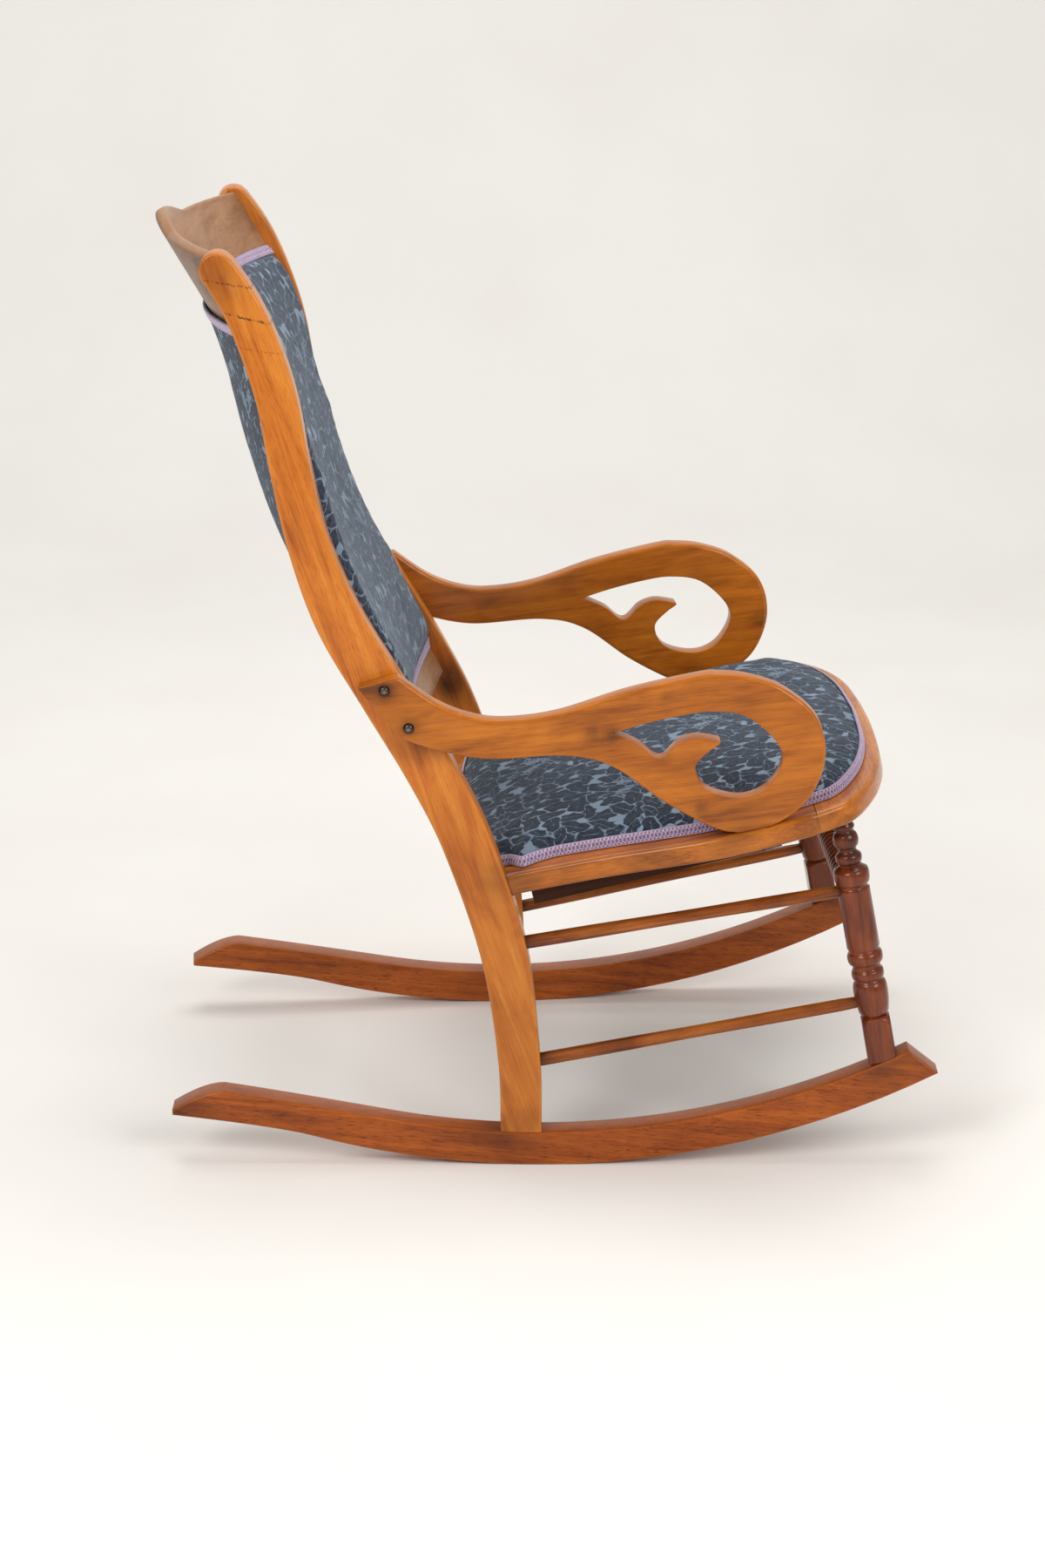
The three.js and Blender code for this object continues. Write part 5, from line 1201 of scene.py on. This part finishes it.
turn = np.linspace(0, math.pi / 2, 20)
pad_reach = 1 - 3.1 / back_half
half_section = np.column_stack([pad_reach * back_half - 15 * (1 - np.cos(turn)), edge_scale * np.sin(turn)])
section = even(np.vstack([half_section * (-1, 1), half_section[::-1]]), pad_step * coarse)
rows = even(back_edge, pad_step * coarse)
moved = finer(swelling(in_back(*back_top(section, rows)), 5), coarse)
section, rows = spline(section, coarse), spline(rows, coarse)
across, along, ahead = back_top(section, rows)
edge_share = np.minimum((1 - np.abs(across) / pad_reach) * back_half, np.minimum(along - pad_low, pad_top - along))
tacks = 0.5 * np.exp(-edge_share / 16) * np.sin(across * 60) * np.sin(along / 3.7)
fine = in_back(across, along, ahead) + (moved + tacks[..., None] * (0, -1, 0)) * (edge_share > 0.5)[..., None]
points, faces, flat = pad_shell(fine, np.dstack([across * back_half, along]), lambda added: in_back(
    added[:, 0] / back_half, added[:, 1], pad_rear(added[:, 0] / back_half, added[:, 1])))
cloth_x, cloth_y = (np.r_[0, np.cumsum(np.linalg.norm(np.diff(line, axis=0), axis=1))] for line in (section, rows))
laid = np.stack(np.meshgrid(cloth_x - cloth_x.mean(), cloth_y, indexing="ij"), -1)
soil = dirt_and_shade_round(points, ((0, 130, 440), 70, 0.3), ((-205, 130, 440), 60, 0.4), ((205, 130, 440), 60, 0.4))
# The back's cloth: the same jacquard in paler, greyer colours, painted lighter for the pale sheen it shows at a slant
back_cloth_painted_paler = damask_cloth("back_damask_painted_paler", "#252d3c", "#4d596a", "#7388a0", "#94a6b8", 1.0)
piece = covered("back_pad_damask", points, faces, flat, back_cloth_painted_paler, soil, laid, 110)
fitted(piece, "damask", "back_pad")

# Gimp in front of the back: one braid laid over the tacks on the crest, one under the pad on the lower rail,
# and one stood on edge down each side between pad and post.


def back_braid(across, along, ahead, lift):
    """A strip of braid on the back: rows along it and lanes across it, lifted ahead, back or sideways."""
    lanes = in_back(across, along, ahead)
    return braid(lanes, np.broadcast_to(lift, lanes.shape), closed=False)


def strips(name, node, parts):
    """One piece of several strips of braid, each a closed shell."""
    count, points, faces, ends, ridges = 0, [], [], [], []
    for strip, edges, lids, ridge in parts:
        points.append(strip)
        faces += [block + count for block in edges]
        ends += [lid + count for lid in lids]
        ridges.append(ridge)
        count += len(strip)
    piece = add_piece(name, np.vstack(points), faces, ends, gimp_yarn, smooth_angle=80, wear=np.concatenate(ridges))
    return fitted(piece, "gimp", node)


width_run = np.linspace(-pad_reach, pad_reach, 480)[:, None]
height_run = np.linspace(440, 910, 520)[:, None]
upper_run = 928.5 - braid_width * climb
upper = back_braid(width_run, upper_run, crest_ahead(width_run, upper_run) + 0.4 + 3.5 * climb, (0, -0.85, 0.5))
lower = back_braid(width_run, 420 + 11.5 * climb, 8.4 + 5 * climb ** 2, (0, -1, -0.1))
room = np.clip(np.interp(height_run, *back_edge.T) - 17.5, 2.5, 11.6)
stood = [back_braid(side * (pad_reach + 0.0005), height_run + 0 * climb, 11.4 + room * climb, (side * 0.9, 0, 0))
         for side in (-1, 1)]
strips("back_gimp_front_braid", "back_gimp_front", [upper, lower, *stood])

# Outside back: a plain sheet of the same cloth over the rear, its edges under another gimp. Drawn tight from
# rail to crest, it lies straighter than the posts: its middle passes up to 9 mm ahead of their sweep, low down.
sheet_top = 913


def sheet_between(front, rear):
    """Two grids of points joined round their rim to one thin closed sheet."""
    n, m = front.shape[:2]
    rim, block = grid_rim(n, m), grid_faces(n, m)
    wall = np.stack([rim, np.roll(rim, -1), np.roll(rim, -1) + n * m, rim + n * m], 1)
    return np.vstack([front.reshape(-1, 3), rear.reshape(-1, 3)]), [block, block[:, ::-1] + n * m, wall]


def on_rear(across, along, depth):
    """How far ahead of the posts' line the rear lies: behind that line by the depth, and from 820 to 915 mm
    along it passes over to the crest's rear face, behind which it lies by the depth less 12.6 mm."""
    crest_share = np.interp(along, (820, 915), (0, 1))
    return crest_share * (crest_ahead(across, pad_top) - crest_thickness + 12.6) - depth


across, along = np.meshgrid(np.linspace(-0.999, 0.999, 140), np.linspace(pad_low, sheet_top, 160), indexing="ij")
climbed = math.pi * (along - pad_low) / (sheet_top - pad_low)
drawn = (5.5 * np.sin(climbed) + 5 * np.sin(2 * climbed)) * (1 - across ** 2)
behind = on_rear(across, along, 13.6) + drawn
points, faces = sheet_between(in_back(across, along, behind), in_back(across, along, behind - 1.2))
laid = np.dstack([across * back_half, along, 0 * along])
figure = np.tile(damask_figure(laid[..., 0], laid[..., 1] + 60).ravel(), 2)
piece = add_piece("outside_back_damask", points, faces, (), seat_cloth, smooth_angle=50, figure=figure,
                  weave=np.tile(laid.reshape(-1, 3), (2, 1)), soil=dirt_and_shade_round(points, ((0, 150, 450), 60, 0.3)))
fitted(piece, "damask", "outside_back")
ends_run = np.linspace(-1, 1, 480)[:, None]
behind = crest_ahead(ends_run, pad_top) - crest_thickness - 2.6
upper = back_braid(ends_run, sheet_top - braid_width * climb, behind, (0, 0.9, -0.4))
lower = back_braid(ends_run, pad_low + braid_width * climb, -15.3, (0, 0.95, -0.2))
flats = [back_braid(side * (1 - braid_width * climb / back_half), height_run, on_rear(1.0, height_run, 15.4),
                    (0, 0.95, -0.3)) for side in (-1, 1)]
strips("back_gimp_rear_braid", "back_gimp_rear", [upper, lower, *flats])

# Hidden layers: jute webbing woven over and under, hessian over it, and a dust cloth under the seat.


def coarse_weave(name, dark, pale, pitch):
    """Plain cloth of coarse yarn: warp and weft cross at the pitch in mm, with uneven pale and dark threads."""
    material = new_material(name)
    place = add_node(material, "TexCoord").outputs["Object"]
    threads = crossing(material, place, pitch / 1000, pitch / 1000)
    shade = reckon(material, "MULTIPLY_ADD", threads, 0.2, mottled(material, 160, 4))
    return surfaced(material, Base_Color=ramp(material, shade, (0.25, dark), (0.75, pale)), Roughness=0.92,
                    Normal=bumped(material, threads, 0.5), Sheen_Weight=0.15)


def thin_sheet(middle, thickness):
    """A level grid of points thickened to both sides, and closed round its rim."""
    lift = (0, 0, thickness / 2)
    return sheet_between(middle - lift, middle + lift)


def woven(placed, lengths, gap):
    """Three straps each way, 50 mm wide, that pass over and under one another by a cosine of the run."""
    points, faces, count = [], [], 0
    for direction, length in enumerate(lengths):
        run, width = np.meshgrid(np.linspace(-length / 2, length / 2, 80), np.linspace(-25, 25, 5), indexing="ij")
        for side in (-1, 0, 1):
            over = 0.9 * np.cos(math.pi * run / gap) * (-1) ** (direction + side)
            flat = [width + side * gap, run] if direction else [run, width + side * gap]
            strap, blocks = thin_sheet(np.dstack([*flat, over]), 1.2)
            points.append(placed(strap))
            faces += [block + count for block in blocks]
            count += len(strap)
    return np.vstack(points), faces


jute = coarse_weave("jute_webbing_weave", "#6e5030", "#a98757", 2.4)
seat_middle = (seat_front_y + back_board_y) / 2
points, faces = woven(lambda p: in_seat(p + (0, seat_middle, -1.2)), (440, 380), 112)
piece = fitted(add_piece("seat_webbing_straps", points, faces, (), jute), "jute_webbing", "seat_webbing")
back_middle = (pad_low + pad_top) / 2
points, faces = woven(lambda p: in_back(p[:, 0] / back_half, p[:, 1] + back_middle, p[:, 2] + 7.8), (424, 484), 120)
piece = fitted(add_piece("back_webbing_straps", points, faces, (), jute), "jute_webbing", "back_webbing")
sacking = coarse_weave("hessian_weave", "#77603e", "#a38c63", 1.6)
middle = patch(*(side * 0.95 + (0, 0.05 * seat_middle) for side in sides), (40, 36))
points, faces = thin_sheet(np.dstack([middle, np.full(middle.shape[:2], 2.6)]), 0.8)
piece = fitted(add_piece("seat_hessian_sheet", in_seat(points), faces, (), sacking), "hessian", "seat_hessian")
across, along = np.meshgrid(np.linspace(-0.98, 0.98, 60), np.linspace(434, 902, 60), indexing="ij")
points, faces = sheet_between(in_back(across, along, 9.9), in_back(across, along, 10.8))
piece = fitted(add_piece("back_hessian_sheet", points, faces, (), sacking), "hessian", "back_hessian")
corners = [(-218, -320), (218, -320), (206, 12), (-206, 12)]
lines = [even([corners[a], corners[b]], 20) for a, b in ((0, 3), (0, 1), (1, 2), (3, 2))]
middle = patch(*lines, (44, 34))
sag = 5 * np.outer(np.sin(np.linspace(0, math.pi, 44)), np.sin(np.linspace(0, math.pi, 34)))
points, faces = thin_sheet(np.dstack([middle, -seat_thickness - 1 - sag]), 0.8)
lining = coarse_weave("black_dust_cloth", "#15130f", "#2e2a24", 0.9)
piece = fitted(add_piece("dust_cover_cloth", in_seat(points), faces, (), lining), "dust_cloth", "seat_dust_cover")

# Dowels between posts and rockers keep their own solids, in bare pale wood.
peg_wood = varnished_wood("bare_beech_dowel", "#c9a673", "#b08a58", "#8d6a3e", pores=0.2, roughness=0.6, coat=0)
finished(peg_wood, "post_dowel_left", "post_dowel_right")

# Floor: one pale seamless sheet that runs up beyond the chair, as the camera sees it, in a wide curve.
bend, bend_start = 1.5, 2.2
turn = np.linspace(0, math.pi / 2, 24)
run = np.vstack([[[-3.2, 0]], np.column_stack([bend_start + bend * np.sin(turn), bend * (1 - np.cos(turn))]),
                 [[bend_start + bend, 4.2]]])
across = np.linspace(-4.5, 4.5, 12)
points = np.array([[x, y, z] for x, z in run for y in across])
backdrop_mesh = bpy.data.meshes.new("seamless_floor")
backdrop_mesh.from_pydata(points.tolist(), [], grid_faces(len(run), len(across)).tolist())
backdrop_mesh.polygons.foreach_set("use_smooth", np.ones(len(backdrop_mesh.polygons), bool))
floor = bpy.data.objects.new("seamless_floor", backdrop_mesh)
bpy.context.scene.collection.objects.link(floor)
# Matt pale warm paper, with a faint mottle
paper = new_material("matt_pale_paper")
tone = ramp(paper, mottled(paper, 3, 3), (0.3, "#f4f2ef"), (0.7, "#f7f6f3"))
surfaced(paper, Base_Color=tone, Roughness=0.95, Specular_IOR_Level=0.1)
backdrop_mesh.materials.append(paper)

# Light: two large soft boxes beside the camera and one above, in a pale room.
for name, place, target, size, power in (("soft_box_rear", (-3.0, 2.2, 2.7), (0, 0.1, 0.6), 1.6, 66),
                                         ("soft_box_front", (-2.9, -2.3, 2.4), (0, 0, 0.5), 1.6, 54),
                                         ("soft_box_above", (0.5, 0, 3.6), (0, 0, 0), 2.6, 62)):
    lamp = bpy.data.lights.new(name, "AREA")
    lamp.size = size
    lamp.energy = power
    lamp.color = (1, 0.975, 0.94)
    holder = bpy.data.objects.new(name, lamp)
    holder.location = place
    holder.rotation_euler = (Vector(target) - Vector(place)).to_track_quat("-Z", "Y").to_euler()
    bpy.context.scene.collection.objects.link(holder)
room = bpy.data.worlds.new("pale_room")
room.use_nodes = True
room.node_tree.nodes["Background"].inputs["Color"].default_value = (1, 0.99, 0.975, 1)
room.node_tree.nodes["Background"].inputs["Strength"].default_value = 0.42
bpy.context.scene.world = room
bpy.context.scene.view_settings.view_transform = "Standard"
